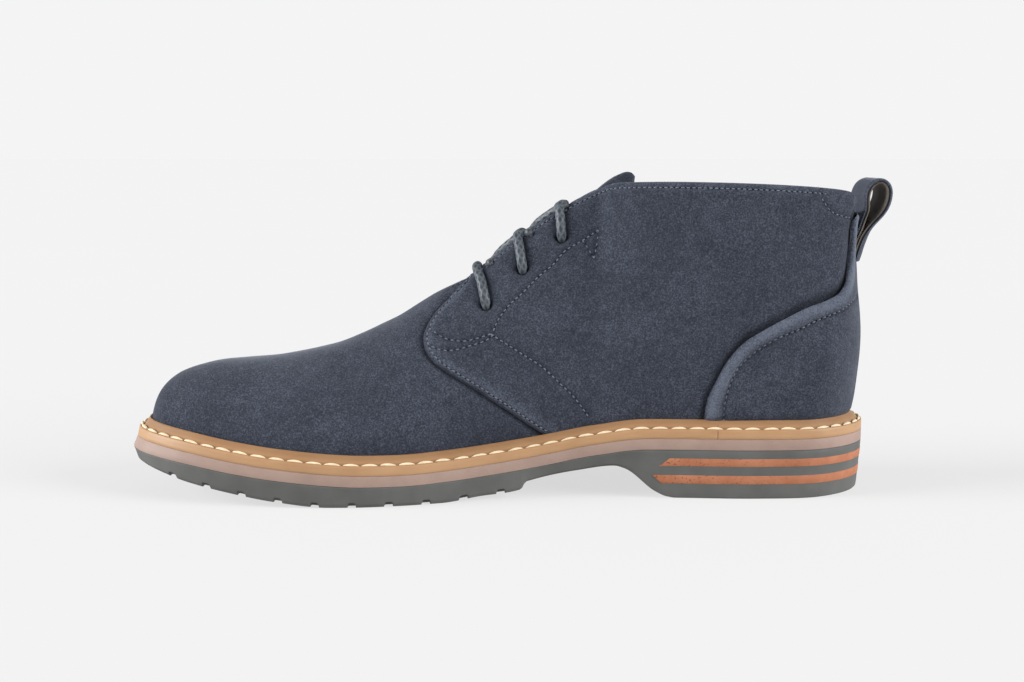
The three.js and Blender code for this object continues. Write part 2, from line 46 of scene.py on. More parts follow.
# ---- driving sizes, as in the CAD part ----
SOLE_LENGTH = 301.4
HEEL_X = 146.7
HEEL_Y = -2
HEEL_END_RADIUS = 33
TOE_END_RADIUS = 33
HEEL_CENTRE = 0
TOE_CENTRE = -11
GAP = 0.3
WALL = 2.2
MIDSOLE_THICK = 4.1
HEEL_DRAFT = 1.6
TOE_LEAN = 1.7
WELT_SIDE = 3.6
WELT_LIP = 6.9
INSOLE_THICK = 3
LACE_RADIUS = 2
COLLAR_LEAN = 0.04
MEDIAL = -1
LATERAL = 1
THROAT_END = 171

# ---- finer sizes ----
BRIDGE = 0.1  # the last share of the wall, which bridges the throat
QUARTER_LIFT = 0.35  # how far the quarters stand off the wall
UNDER_QUARTER = 1.0  # how far the vamp and the quarters' rolled front edge lie inside it
COLLAR_ROLL = 1.2
BRAID_PITCH = 3.6
OVER = 1.5  # how high a lace crosses over another
UNDER = -1.2
WELT_JOINT = 64
WELT_STITCH_PITCH = 7.3
WELT_STITCH_INSET = 1.2
WELT_GROOVE = 1.1  # the groove's inset
OUTSOLE_CORNER = 0.9
LUG_PITCH = 14.6
LUG_SLOT = 3
LUG_REACH = 2.5
LUG_CENTRE = 150  # the station of one slot between lugs
HEEL_BAR_PITCH = 12
TREAD_DEPTH = 2
STRIPE_PROUD = 0.14


def table(columns, rows):
    """A short table with named columns."""
    return {name: np.array([row[i] for row in rows], float) for i, name in enumerate(columns.split())}


SOLE_OUTLINE = table("s centre half", [
    (20, 0, 31), (48, 0, 35.6), (90, 0.6, 34.2), (124, 2.6, 35.2), (158, 4, 42.4),
    (188, 3, 51), (210, 2, 53.6), (236, -0.8, 50.2), (262, -4.8, 41.8), (284, -8.4, 29),
])
SEAT = table("s z", [
    (0, 24.4), (92, 24.4), (114, 21.7), (133, 17.9), (152, 15.2), (170, 13.4), (190, 12.6),
    (205, 12.8), (238, 15.3), (257, 17.8), (276, 20.6), (SOLE_LENGTH, 23.4),
])
UNDERSIDE = table("s z", [
    (0, 0), (80, 0), (84, 0.6), (88, 2.4), (101, 12), (105, 13), (120, 11), (138, 7.2),
    (140, 6.6), (142, 3.6), (158, 1.7), (173, 0), (217, 0), (238, 1.9), (258, 5.1), (276, 8.4),
    (288, 11.2), (SOLE_LENGTH, 14.2),
])
MARGIN = table("s width", [
    (0, 7.9), (30, 6.8), (110, 6.6), (200, 7), (260, 7.2), (SOLE_LENGTH, 7.2),
])
UPPER = table("foot top z half crest footOut footUp topOut topDown turn", [
    (0, 4, 113.5, 0, 0, 13, 41, -6, 25, -90),
    (5, 5.5, 114.5, 10.4, 0, 13, 41, -6, 25.5, -73),
    (18, 9, 120.9, 19.4, 0, 12.6, 42, -3.5, 28, -20),
    (45, 42, 124.1, 31, 0, 6.6, 34, 2, 36, -4),
    (78, 76, 125.2, 29.6, 0, 5, 36, 3, 34, 0),
    (96, 93, 125.4, 23.6, -0.5, 5, 38, 4, 26, 0),
    (106, 104, 125.2, 15.6, -1, 5, 40, 5.4, 22, 0),
    (113, 112, 122.4, 8.6, -1.4, 5, 40, 6.6, 17.5, 0),
    (135, 135, 109.4, 7.6, -2.2, 5, 38, 9, 9, 0),
    (155, 155, 94, 6.4, -3, 5, 34, 10, 6, 0),
    (168, 168.5, 84.4, 5.2, -3.5, 5, 31, 11, 2, 0),
    (171, 171.5, 83.2, 0, -3.6, 5, 30, 16, 0, 0),
    (195, 195, 69.8, 0, -4.5, 5, 21, 21, 0, 0),
    (220, 221, 58.9, 0, -5.6, 4.5, 14, 26, 0, 0),
    (245, 245, 54.5, 0, -7, 4, 11, 25, 0, 0),
    (268, 262, 53.6, 0, -8.6, 3, 12, 18.5, 0.4, 25),
    (288, 270.5, 52, 0, -9.6, 1.6, 13.5, 13.6, 1.6, 58),
    (SOLE_LENGTH, 275, 50.7, 0, -10, 0.8, 15, 12, 2.6, 90),
])
VAMP_DIP = table("s dip", [(100, 4.2), (148, 3.6), (156, 2.8), (164, 1.2), (THROAT_END, 0), (300, 0)])
TONGUE_DIP = table("s dip", [
    (100, 1.4), (112, 1.8), (120, 3.8), (130, 4.7), (150, 5), (164, 4.2), (200, 4),
])
WELT_PROFILE = table("inset height", [
    (6, -0.25), (0.15, -0.25), (0, -0.1), (0, 1.0), (0, 2.4), (0.02, 3.2), (0.2, 3.6), (0.5, 3.75),
    (0.8, 3.6), (1.2, 3.45), (1.6, 3.6), (1.95, 4.1), (2.4, 4.6),
])

# ---- seams and edges, as (foot, z) on the wall ----
QUARTER_FRONT = table("foot z", [
    (161, 91), (162.6, 87.2), (169.6, 80.4), (176.3, 74), (179.9, 68.4), (181.2, 64), (179.4, 58.6),
    (174.8, 53.7), (167, 48.5), (159.3, 43.6), (151.5, 38.4), (143.7, 33), (136.4, 27.7),
    (132.3, 25), (126, 20.6), (121, 17),
])
SECOND_SEAM = table("foot z", [
    (154.1, 65.3), (147.3, 61.2), (141.6, 57.6), (133.3, 52.2), (125.6, 44.7), (120.5, 39.4), (115.6, 32.6),
])
FACING_SEAM = table("foot z", [
    (153, 66.6), (151, 71), (146.8, 76.5), (141.6, 81.2), (135.4, 87.5), (129.2, 92.7),
    (124.6, 97.9), (117.9, 101.9), (111.9, 106),
])
TRIANGLE_SEAMS = [
    table("foot z", [(111.9, 106), (112.6, 99.6), (113.6, 95)]),
    table("foot z", [(113.6, 95), (115.9, 98.9), (117.9, 101.9)]),
]
BAR_SEAM = table("foot z", [
    (178.6, 67.4), (174.2, 64.8), (169.6, 63.2), (164.6, 62.6), (159.6, 63.6), (154.1, 65.3),
])
LOWER_BAR_SEAM = table("foot z", [
    (177.4, 60.6), (173.2, 59.4), (167.6, 59.4), (161.6, 61), (156.4, 62.6), (153, 65),
])
PANEL_SEAM = table("foot z", [(32.1, 122), (30.9, 117.1), (27.8, 112.4), (23, 110.6), (19.6, 110.4)])
COUNTER_FRONT = table("z foot", [
    (29, 69.7), (39.3, 68.4), (47.5, 65), (55.6, 61), (63.4, 54.6), (68.1, 47.6), (72.8, 39.9),
    (77.3, 32.1), (79.4, 26.8), (82.5, 21.8), (87.2, 19.2), (92.3, 18.4), (100, 18.2), (107, 18.8),
    (110.6, 18.4), (112.6, 16.6), (114.2, 12.5),
])
COUNTER_SEAM = table("foot z", [
    (61.6, 31), (61.1, 39.7), (57.4, 51.2), (50.6, 58.5), (42.4, 63.8), (34.4, 67.6), (26.9, 71.7),
    (12, 77.3), (5, 79),
])
# Soft troughs (negative) and ridges pressed into the suede: their places, depth and width.
CREASES = [
    ([(214, 30), (212, 42), (209, 54)], -0.55, 7),
    ([(202, 32), (200, 44), (198, 57)], 0.4, 6),
    ([(191, 34), (189, 46), (188, 60)], -0.5, 7),
    ([(118, 60), (108, 72), (92, 80)], -0.6, 12),
    ([(96, 52), (84, 60), (70, 63)], 0.5, 12),
    ([(60, 92), (48, 97), (34, 99)], -0.6, 13),
    ([(104, 96), (96, 104), (84, 110)], -0.45, 11),
    ([(250, 33), (244, 38), (236, 44)], -0.3, 12),
]
LACE_ROWS = table("s drop lean bend", [
    (156.2, 16.4, 4, 0), (141.6, 13.6, 1.8, 2.2), (125.8, 11.6, 0.6, 2.2),
])
LOOP_PATH = table("s z", [
    (4.2, 99), (3.2, 103), (2.5, 107), (2.5, 111), (2.1, 115), (1.8, 121), (0, 124.6), (-3.3, 126.1),
    (-6, 124.6), (-6.9, 121.5), (-6.2, 117.5), (-4.3, 113.6), (-1.9, 109.8), (-0.4, 106.5),
    (0.9, 102.8), (2, 99.4), (2.8, 96.4), (3.6, 94),
])
LOOP_WIDTH = 25
LOOP_WRAP = 3.2
LOOP_ROUND_BELOW = 102
LOOP_FLAT_ABOVE = 116
STRIPES = [
    {"name": "heel_stripe_upper", "low": 13.3, "high": 16.5, "top_end": 83, "bottom_end": 87},
    {"name": "heel_stripe_lower", "low": 6.1, "high": 9.6, "top_end": 89.5, "bottom_end": 86},
]

# ---- curves ----
def along(rows, across, column, position):
    """A smooth curve through a table's rows that never swings past them."""
    x = rows[across]
    y = rows[column]
    width = np.diff(x)
    slope = np.diff(y) / width
    tangent = np.zeros(len(x))
    tangent[0] = slope[0]
    tangent[-1] = slope[-1]
    for k in range(1, len(x) - 1):
        before, after = slope[k - 1], slope[k]
        if before * after > 0:
            left, right = width[k - 1], width[k]
            weight = 3 * (left + right)
            tangent[k] = weight / ((2 * right + left) / before + (right + 2 * left) / after)
    at = np.clip(np.asarray(position, float), x[0], x[-1])
    i = np.clip(np.searchsorted(x, at, side="right") - 1, 0, len(x) - 2)
    u = (at - x[i]) / width[i]
    a = tangent[i] * width[i]
    b = tangent[i + 1] * width[i]
    rise = y[i + 1] - y[i]
    return y[i] + u * a + u * u * (3 * rise - 2 * a - b) + u**3 * (a + b - 2 * rise)


def angle_of(s):
    return np.arccos(np.clip(1 - 2 * np.asarray(s, float) / SOLE_LENGTH, -1, 1))


def station_of(angle):
    return SOLE_LENGTH / 2 * (1 - np.cos(angle))


def round_end(radius):
    return math.sqrt(radius * SOLE_LENGTH / 2)


def smooth(low, high, value):
    """A soft step from 0 at low to 1 at high. Low may be the greater."""
    u = np.clip((value - low) / (high - low), 0, 1)
    return u * u * (3 - 2 * u)


def hump(distance, width):
    return np.exp(-((distance / width) ** 2))


def rolled(distance, radius):
    """The profile of a rounded edge: 0 at the edge, 1 from one radius in."""
    u = 1 - np.clip(distance / radius, 0, 1)
    return np.sqrt(1 - u * u)


def unit(vectors):
    """Vectors at a length of 1."""
    return vectors / np.linalg.norm(vectors, axis=-1, keepdims=True)


def at_height(places, z):
    """Points from their places in plan and their heights."""
    return np.concatenate([places, np.broadcast_to(z, places.shape[:-1])[..., None]], -1)


def lengths_along(line):
    """How far along a line each of its points lies."""
    return np.concatenate([[0], np.cumsum(np.linalg.norm(np.diff(line, axis=0), axis=1))])


def read_at(line, length, at):
    """A line's points, or other values, at some lengths along it."""
    return np.stack([np.interp(at, length, column) for column in line.T], -1)


def spline(points, count):
    """Evenly spaced points on a smooth curve through a few points."""
    points = np.asarray(points, float)
    padded = np.concatenate([[2 * points[0] - points[1]], points, [2 * points[-1] - points[-2]]])
    u = np.linspace(0, 1, 24, endpoint=False)[:, None]
    fine = []
    for a, b, c, d in zip(padded, padded[1:], padded[2:], padded[3:]):
        bend = 2 * a - 5 * b + 4 * c - d
        sway = 3 * b - a - 3 * c + d
        fine.append(0.5 * (2 * b + (c - a) * u + bend * u**2 + sway * u**3))
    fine = np.concatenate(fine + [points[-1:]])
    length = lengths_along(fine)
    return read_at(fine, length, np.linspace(0, length[-1], count))


def distance_to(points, line):
    """How far each point is from a line of closely spaced points."""
    flat = points.reshape(-1, 3)
    best = np.full(len(flat), 1e9)
    steps = np.diff(line, axis=0)
    for start, step in zip(line, steps):
        near = flat - start
        u = np.clip(near @ step / max((step**2).sum(), 1e-9), 0, 1)
        best = np.minimum(best, ((near - u[:, None] * step) ** 2).sum(1))
    return np.sqrt(best).reshape(points.shape[:-1])


def nearest(points, lines):
    return np.min([distance_to(points, line) for line in lines], axis=0)


def unevenness(points, size, seed):
    """A slow, repeatable waviness from -1 to 1."""
    rng = np.random.default_rng(seed)
    total = np.zeros(points.shape[:-1])
    for _ in range(7):
        direction = rng.normal(size=3)
        direction /= np.linalg.norm(direction)
        wave = 2 * math.pi / (size * rng.uniform(0.7, 1.6))
        total += np.sin(points @ direction * wave + rng.uniform(0, 2 * math.pi))
    return total / 4


# ---- the boot's form: the sole's edge and the upper's wall ----
row_angles = angle_of(SOLE_OUTLINE["s"])
OUTLINE = {
    "angle": np.array([0, *row_angles, math.pi]),
    "centre": np.array([HEEL_CENTRE, *SOLE_OUTLINE["centre"], TOE_CENTRE]),
    "swell": np.array([
        round_end(HEEL_END_RADIUS), *(SOLE_OUTLINE["half"] / np.sin(row_angles)), round_end(TOE_END_RADIUS),
    ]),
}
UPPER["angle"] = angle_of(UPPER["foot"])


def outline_point(angle):
    """Angle 0 is the heel's rear, +-PI the toe, and the medial side is negative."""
    past_toe = np.abs(angle) > math.pi
    turned = np.where(past_toe, 2 * math.pi - np.abs(angle), np.abs(angle))
    side = np.where(past_toe, -np.sign(angle), np.sign(angle))
    swell = along(OUTLINE, "angle", "swell", turned)
    y = along(OUTLINE, "angle", "centre", turned) + side * swell * np.sin(turned)
    return np.stack([HEEL_X - station_of(turned), HEEL_Y + y], -1)


def sole_edge(angle, inset=0.0):
    """Points on the sole's edge, drawn in by inset, and the directions out of it."""
    angle = np.asarray(angle, float)
    step = 0.004
    run = unit(outline_point(angle + step) - outline_point(angle - step))
    outward = np.stack([run[..., 1], -run[..., 0]], -1)
    inset = np.broadcast_to(inset, angle.shape)
    return outline_point(angle) - outward * inset[..., None], outward


def inside_edge(angle, inset):
    return sole_edge(angle, inset)[0]


def round_angles(count):
    return np.linspace(-math.pi, math.pi, count, endpoint=False)


def seat_at(s):
    return along(SEAT, "s", "z", s)


def outsole_top(s):
    return seat_at(s) - MIDSOLE_THICK - GAP


def toe_lean(s):
    """How far the midsole and welt have drawn in towards their top."""
    return TOE_LEAN * smooth(225, SOLE_LENGTH, s)


def section(angle, column):
    return along(UPPER, "angle", column, np.abs(angle))


def wall(angle, t, dip=None):
    """Points on the upper's outer face: t is 0 at its foot and 1 at its top.
    With dip, the last of t bridges the throat, that far below its edges in the middle."""
    angle, t = np.broadcast_arrays(np.asarray(angle, float), np.asarray(t, float))
    side = np.where(angle < 0, -1.0, 1.0)
    s = station_of(angle)
    foot, outward = sole_edge(angle, along(MARGIN, "s", "width", s))
    p0 = at_height(foot, seat_at(s) + GAP)
    p1 = p0 + at_height(outward * section(angle, "footOut")[..., None], section(angle, "footUp"))
    half = side * section(angle, "half")
    x = HEEL_X - section(angle, "top")
    y = HEEL_Y + section(angle, "crest")
    z = section(angle, "z")
    p3 = np.stack([x, y + half, z - COLLAR_LEAN * half], -1)
    turn = np.radians(section(angle, "turn"))
    reach = section(angle, "topOut")
    p2 = p3 + np.stack([-reach * np.sin(turn), side * reach * np.cos(turn), -section(angle, "topDown")], -1)
    edge = 1.0
    if dip is not None:
        edge = 1 - BRIDGE * smooth(0, 4, section(angle, "half"))
    over = np.clip((t - edge) / BRIDGE, 0, 1)[..., None]
    t = np.minimum(t / edge, 1)[..., None]
    points = (1 - t) ** 3 * p0 + 3 * (1 - t) ** 2 * t * p1 + 3 * (1 - t) * t * t * p2 + t**3 * p3
    if dip is None:
        return points
    middle = np.stack([x, y, z - along(dip, "s", "dip", s)], -1)
    return points * (1 - over) + middle * over


def height_on_wall(angle, z):
    """The t at which the wall reaches a height."""
    angle, z = np.broadcast_arrays(np.asarray(angle, float), np.asarray(z, float))
    low = np.zeros(angle.shape)
    high = np.ones(angle.shape)
    for _ in range(26):
        middle = (low + high) / 2
        below = wall(angle, middle)[..., 2] < z
        low = np.where(below, middle, low)
        high = np.where(below, high, middle)
    return (low + high) / 2


def wall_slopes(angle, t):
    """How the wall's points move as the angle grows, and as t does."""
    step = 0.01
    above = np.minimum(t + step, 1)
    below = np.maximum(t - step, 0)
    run = (wall(angle + step, t) - wall(angle - step, t)) / (2 * step)
    return run, (wall(angle, above) - wall(angle, below)) / (above - below)[..., None]


def wall_normal(angle, t):
    return unit(np.cross(*wall_slopes(angle, t)))


def seam_on_wall(rows, side, count=220):
    """A seam's angles and t's, along its length, on one side of the boot."""
    places = spline(np.stack([rows["foot"], rows["z"]], -1), count)
    angle = angle_of(places[:, 0])
    return side * angle, height_on_wall(angle, places[:, 1])


def both_sides(rows, count=160):
    """A seam's points on the medial and on the lateral side."""
    return [wall(*seam_on_wall(rows, side, count)) for side in (MEDIAL, LATERAL)]


# ---- meshes ----
def quads(number):
    """Faces between the neighbours in a grid of point numbers."""
    return np.stack([number[:-1, :-1], number[1:, :-1], number[1:, 1:], number[:-1, 1:]], -1).reshape(-1, 4)


def numbered(columns, rows):
    return np.arange(columns * rows).reshape(columns, rows)


def grid_faces(columns, rows, around=False):
    """Faces of a grid whose points are numbered column by column."""
    number = numbered(columns, rows)
    return quads(np.concatenate([number, number[:1]]) if around else number)


def tube_faces(rings, sides):
    """Faces of a tube whose points are numbered ring by ring."""
    number = numbered(rings, sides)
    return quads(np.concatenate([number, number[:, :1]], 1))[:, [0, 3, 2, 1]]


def vertex_normals(points, faces):
    flat = points.reshape(-1, 3)
    normals = np.zeros_like(flat)
    corner = flat[faces]
    face_normal = np.cross(corner[:, 2] - corner[:, 0], corner[:, 3] - corner[:, 1])
    for k in range(4):
        np.add.at(normals, faces[:, k], face_normal)
    normals /= np.maximum(np.linalg.norm(normals, axis=1, keepdims=True), 1e-12)
    return normals.reshape(points.shape)


def raised(points, normals, offset):
    return points + normals * offset[..., None]


def joined(parts):
    """Several (points, faces) as one."""
    points = []
    faces = []
    start = 0
    for part_points, part_faces in parts:
        points.append(part_points.reshape(-1, 3))
        faces.append(part_faces + start)
        start += len(points[-1])
    return np.concatenate(points), np.concatenate(faces)


def add_object(name, data):
    item = bpy.data.objects.new(name, data)
    bpy.context.scene.collection.objects.link(item)
    return item


def make_piece(name, points, faces, material, slot, replaces, shade=None):
    """A mesh from points in millimetres, riding on the boot. shade is a value per point
    that its material may read as painted light and shade: 0 as it comes, 1 a painted highlight, -1 painted
    shade, as in a fold."""
    mesh = bpy.data.meshes.new(name)
    mesh.from_pydata((points.reshape(-1, 3) * MM).tolist(), [], faces.tolist())
    mesh.validate()
    mesh.polygons.foreach_set("use_smooth", [True] * len(mesh.polygons))
    if shade is not None:
        attribute = mesh.attributes.new("shade", "FLOAT", "POINT")
        attribute.data.foreach_set("value", shade.astype(np.float32).ravel())
    mesh.materials.append(material)
    mesh.update()
    piece = add_object(name, mesh)
    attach(piece, "root")
    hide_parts(*replaces)


# ---- materials ----
class Nodes:
    """A material's node tree, built a few lines at a time."""

    def __init__(self, name):
        self.material = bpy.data.materials.new(name)
        self.material.use_nodes = True
        self.tree = self.material.node_tree
        self.shader = self.tree.nodes["Principled BSDF"]
        self.place = self.add("ShaderNodeTexCoord").outputs["Object"]

    def plug(self, value, target):
        """Links another node's output to a socket, or sets a number or colour on it."""
        if isinstance(value, bpy.types.NodeSocket):
            self.tree.links.new(value, target)
        else:
            target.default_value = value

    def add(self, kind, inputs=None, **settings):
        node = self.tree.nodes.new(kind)
        for key, value in settings.items():
            setattr(node, key, value)
        for key, value in (inputs or {}).items():
            self.plug(value, node.inputs[key])
        return node

    def noise(self, size, detail, roughness, stretch=None):
        """Noise whose blotches are about size millimetres across."""
        place = self.place
        if stretch:
            place = self.add("ShaderNodeMapping", {"Scale": stretch, "Vector": place}).outputs["Vector"]
        return self.add("ShaderNodeTexNoise", {
            "Scale": 1 / (size * MM), "Detail": detail, "Roughness": roughness, "Vector": place,
        }).outputs["Fac"]

    def spread(self, value, low, high, to_low=0.0, to_high=1.0):
        return self.add("ShaderNodeMapRange", {
            "From Min": low, "From Max": high, "To Min": to_low, "To Max": to_high, "Value": value,
        }).outputs["Result"]

    def blotches(self, size, detail, roughness, stretch=None):
        """Noise with its middle values drawn out, from 0 to 1."""
        return self.spread(self.noise(size, detail, roughness, stretch), 0.3, 0.7)

    def mix(self, share, first, second):
        """Mixes two colours, each a colour or another node's output."""
        node = self.add("ShaderNodeMix", {"Factor": share}, data_type="RGBA")
        self.plug(first, node.inputs[6])
        self.plug(second, node.inputs[7])
        return node.outputs[2]

    def math(self, operation, first, second):
        return self.add("ShaderNodeMath", {0: first, 1: second}, operation=operation).outputs[0]

    def total(self, *parts):
        """The sum of values, each times its weight."""
        values = [self.math("MULTIPLY", value, weight) for value, weight in parts]
        result = values[0]
        for value in values[1:]:
            result = self.math("ADD", result, value)
        return result

    def bump(self, size, detail, roughness, strength, depth):
        """A relief of noise, on top of what is there."""
        normal = self.shader.inputs["Normal"]
        node = self.add("ShaderNodeBump", {
            "Strength": strength, "Distance": depth * MM, "Height": self.noise(size, detail, roughness),
        })
        if normal.links:
            self.plug(normal.links[0].from_socket, node.inputs["Normal"])
        self.plug(node.outputs["Normal"], normal)

    def attribute(self, name):
        return self.add("ShaderNodeAttribute", attribute_name=name).outputs["Fac"]

    def finish(self, colour, **constants):
        self.plug(colour, self.shader.inputs["Base Color"])
        for key, value in constants.items():
            name = key.replace("_", " ").title().replace("Ior", "IOR")
            self.shader.inputs[name].default_value = value
        return self.material


def linear(red, green, blue):
    """A colour given in the usual 0 to 255 scale, as the shader wants it."""
    shares = [c / 255 for c in (red, green, blue)]
    return (*(c / 12.92 if c <= 0.04 else ((c + 0.055) / 1.055) ** 2.4 for c in shares), 1)


def suede_material():
    """Napped leather: a fine speckle of fibres over faint brushed patches, lightened and darkened by painted
    light and shade.
    """
    nodes = Nodes("suede")
    patches = nodes.blotches(22, 3, 0.5)
    brushed = nodes.blotches(3.2, 3, 0.6)
    fibre = nodes.spread(nodes.noise(0.66, 3, 0.8), 0.32, 0.68)
    # painted light and shade from the shade attribute, added into the nap's tone
    painted_shading = nodes.attribute("shade")
    nap = nodes.total((patches, 0.14), (brushed, 0.16), (fibre, 0.7), (painted_shading, 0.5))
    low = nodes.mix(nodes.spread(nap, 0.0, 0.5), linear(27, 29, 35), linear(50, 54, 64))
    colour = nodes.mix(nodes.spread(nap, 0.5, 1.1), low, linear(90, 96, 109))
    nodes.bump(3.4, 3, 0.6, 0.2, 0.2)
    nodes.bump(0.6, 2, 0.7, 0.4, 0.12)
    return nodes.finish(
        colour, roughness=0.95, specular_ior_level=0.1, sheen_weight=0.25, sheen_roughness=0.4,
        sheen_tint=(0.66, 0.7, 0.8, 1),
    )


def plain_material(name, dark, light, size, roughness, specular=0.4):
    """A moulded or finished surface: soft blotches of two near colours and a fine grain."""
    nodes = Nodes(name)
    share = nodes.total((nodes.blotches(size, 4, 0.55), 0.7), (nodes.blotches(0.4, 2, 0.6), 0.3))
    nodes.bump(0.4, 2, 0.6, 0.4, 0.05)
    return nodes.finish(nodes.mix(share, dark, light), roughness=roughness, specular_ior_level=specular)


def lace_material():
    """A waxed round cord with random dark flecks; the braid's ridges get a painted highlight and the grooves
    between them painted shade.
    """
    nodes = Nodes("lace_cord")
    fleck = nodes.spread(nodes.noise(0.7, 2, 0.7), 0.35, 0.68)
    # painted light and shade of the braid, from the shade attribute
    share = nodes.total((fleck, 0.5), (nodes.attribute("shade"), 0.5))
    colour = nodes.mix(nodes.spread(share, 0.1, 0.9), linear(40, 45, 52), linear(86, 94, 102))
    nodes.bump(0.35, 2, 0.6, 0.4, 0.06)
    return nodes.finish(colour, roughness=0.5, specular_ior_level=0.4)


def welt_material():
    """Tan leather, streaked along the strip, with painted shade in its stitch groove and along the upper,
    and darker at its joint.
    """
    nodes = Nodes("tan_welt")
    streak = nodes.blotches(3, 4, 0.6, stretch=(0.25, 0.25, 1))
    share = nodes.total((streak, 0.5), (nodes.blotches(14, 3, 0.5), 0.5))
    colour = nodes.mix(share, linear(158, 121, 85), linear(174, 137, 100))
    # painted shade from the shade attribute, mixed towards a dark tan
    crevice_shade = nodes.spread(nodes.attribute("shade"), 0, -1)
    colour = nodes.mix(crevice_shade, colour, linear(104, 68, 40))
    nodes.bump(0.5, 2, 0.6, 0.3, 0.05)
    return nodes.finish(colour, roughness=0.5, specular_ior_level=0.35)


def stripe_material():
    """Orange rubber with dark specks, more of them towards the front."""
    nodes = Nodes("orange_inlay")
    grain = nodes.spread(nodes.noise(0.9, 2, 0.7), 0.58, 0.7)
    base = nodes.mix(nodes.blotches(8, 3, 0.5), linear(150, 92, 63), linear(166, 108, 79))
    place = nodes.add("ShaderNodeSeparateXYZ", {"Vector": nodes.place})
    front = nodes.spread(place.outputs["X"], 0.125, 0.07, 0.25, 1)
    colour = nodes.mix(nodes.math("MULTIPLY", grain, front), base, linear(84, 42, 28))
    nodes.bump(0.7, 2, 0.6, 0.4, 0.08)
    return nodes.finish(colour, roughness=0.7, specular_ior_level=0.3)


def rubber_material():
    """Grey rubber, with painted shade in the tread's slots."""
    nodes = Nodes("grey_rubber")
    colour = nodes.mix(nodes.blotches(12, 4, 0.5), linear(79, 79, 77), linear(89, 90, 88))
    # painted shade: the slots' depth, from the shade attribute, darkens the rubber
    slot = nodes.spread(nodes.attribute("shade"), 0, -1)
    colour = nodes.mix(slot, colour, linear(34, 34, 34))
    nodes.bump(0.5, 2, 0.6, 0.3, 0.05)
    return nodes.finish(colour, roughness=0.65, specular_ior_level=0.3)


SUEDE = suede_material()
LINING = plain_material("lining_leather", linear(72, 66, 61), linear(98, 91, 84), 6, 0.75)
FOOTBED = plain_material("footbed_leather", linear(120, 104, 88), linear(146, 128, 110), 9, 0.6)
LACE_CORD = lace_material()
THREAD = plain_material("navy_thread", linear(72, 79, 92), linear(108, 115, 128), 1.2, 0.7)
# Painted shade: dark specks between the stitches stand in for the shadow inside their holes.
PIT = plain_material("stitch_hole_shade", linear(20, 22, 27), linear(32, 34, 41), 1.2, 0.9, specular=0.1)
CREAM = plain_material("cream_thread", linear(206, 184, 150), linear(230, 212, 182), 1.4, 0.6)
WELT = welt_material()
ORANGE = stripe_material()
PINK = plain_material("pink_midsole", linear(137, 114, 104), linear(152, 129, 118), 10, 0.6)
RUBBER = rubber_material()

# ---- camera, light and floor ----
LENS = 54.14
CAMERA = (0.0008, -0.64025, 0.138)
CAMERA_TILT = 83
BACKDROP = 0.905
SKY = 0.35
FLOOR = 0.18
FLOOR_SIZE = 30
SUN_SOFTNESS = 35
SUNS = {
    "left": {"direction": (-0.93, -0.15, 0.33), "power": 4.6},
    "right": {"direction": (0.87, -0.34, 0.36), "power": 3.8},
}
SUNLIT = sum(sun["direction"][2] * sun["power"] for sun in SUNS.values()) / math.pi
FLOOR_GLOW = BACKDROP - FLOOR * (0.46 + SUNLIT)


def make_camera():
    data = bpy.data.cameras.new("camera")
    data.sensor_width = 36
    data.lens = LENS
    camera = add_object("camera", data)
    camera.location = CAMERA
    camera.rotation_euler = (math.radians(CAMERA_TILT), 0, 0)
    bpy.context.scene.camera = camera


def make_sun(name, direction, power):
    """A soft light from far away. The direction is towards it, as x, y and z."""
    data = bpy.data.lights.new(name, "SUN")
    data.energy = power
    data.angle = math.radians(SUN_SOFTNESS)
    light = add_object(name, data)
    light.rotation_euler = Vector(direction).to_track_quat("Z", "Y").to_euler()


def make_world():
    """White at eye level, where it shows, and darker above."""
    world = bpy.data.worlds.new("world")
    bpy.context.scene.world = world
    world.use_nodes = True
    tree = world.node_tree
    place = tree.nodes.new("ShaderNodeTexCoord")
    height = tree.nodes.new("ShaderNodeSeparateXYZ")
    fade = tree.nodes.new("ShaderNodeMapRange")
    for name, value in {"From Min": 0.12, "From Max": 0.4, "To Min": BACKDROP, "To Max": SKY}.items():
        fade.inputs[name].default_value = value
    tree.links.new(place.outputs["Generated"], height.inputs["Vector"])
    tree.links.new(height.outputs["Z"], fade.inputs["Value"])
    tree.links.new(fade.outputs["Result"], tree.nodes["Background"].inputs["Color"])


def make_floor():
    """A pale floor with a glow of its own, so that it meets the backdrop unseen."""
    nodes = Nodes("floor")
    light = 1.04 * FLOOR
    colour = nodes.mix(nodes.noise(400, 1, 0.5), (FLOOR, FLOOR, FLOOR, 1), (light, light, light, 1))
    mesh = bpy.data.meshes.new("floor")
    corners = [(FLOOR_SIZE * x, FLOOR_SIZE * y, 0) for x, y in ((-1, -1), (1, -1), (1, 1), (-1, 1))]
    mesh.from_pydata(corners, [], [(0, 1, 2, 3)])
    mesh.materials.append(nodes.finish(
        colour, roughness=1.0, specular_ior_level=0.0, emission_color=(1, 1, 1, 1),
        emission_strength=FLOOR_GLOW,
    ))
    add_object("floor", mesh)


def make_studio():
    make_world()
    for name, sun in SUNS.items():
        make_sun(name, sun["direction"], sun["power"])
    make_floor()
    bpy.context.scene.view_settings.view_transform = "Standard"


# ---- the upper ----
def front_angle(t):
    """Where the quarter's front edge lies, at each t."""
    angle, heights = seam_on_wall(QUARTER_FRONT, LATERAL, 300)
    order = np.argsort(heights)
    return np.interp(t, heights[order], angle[order])


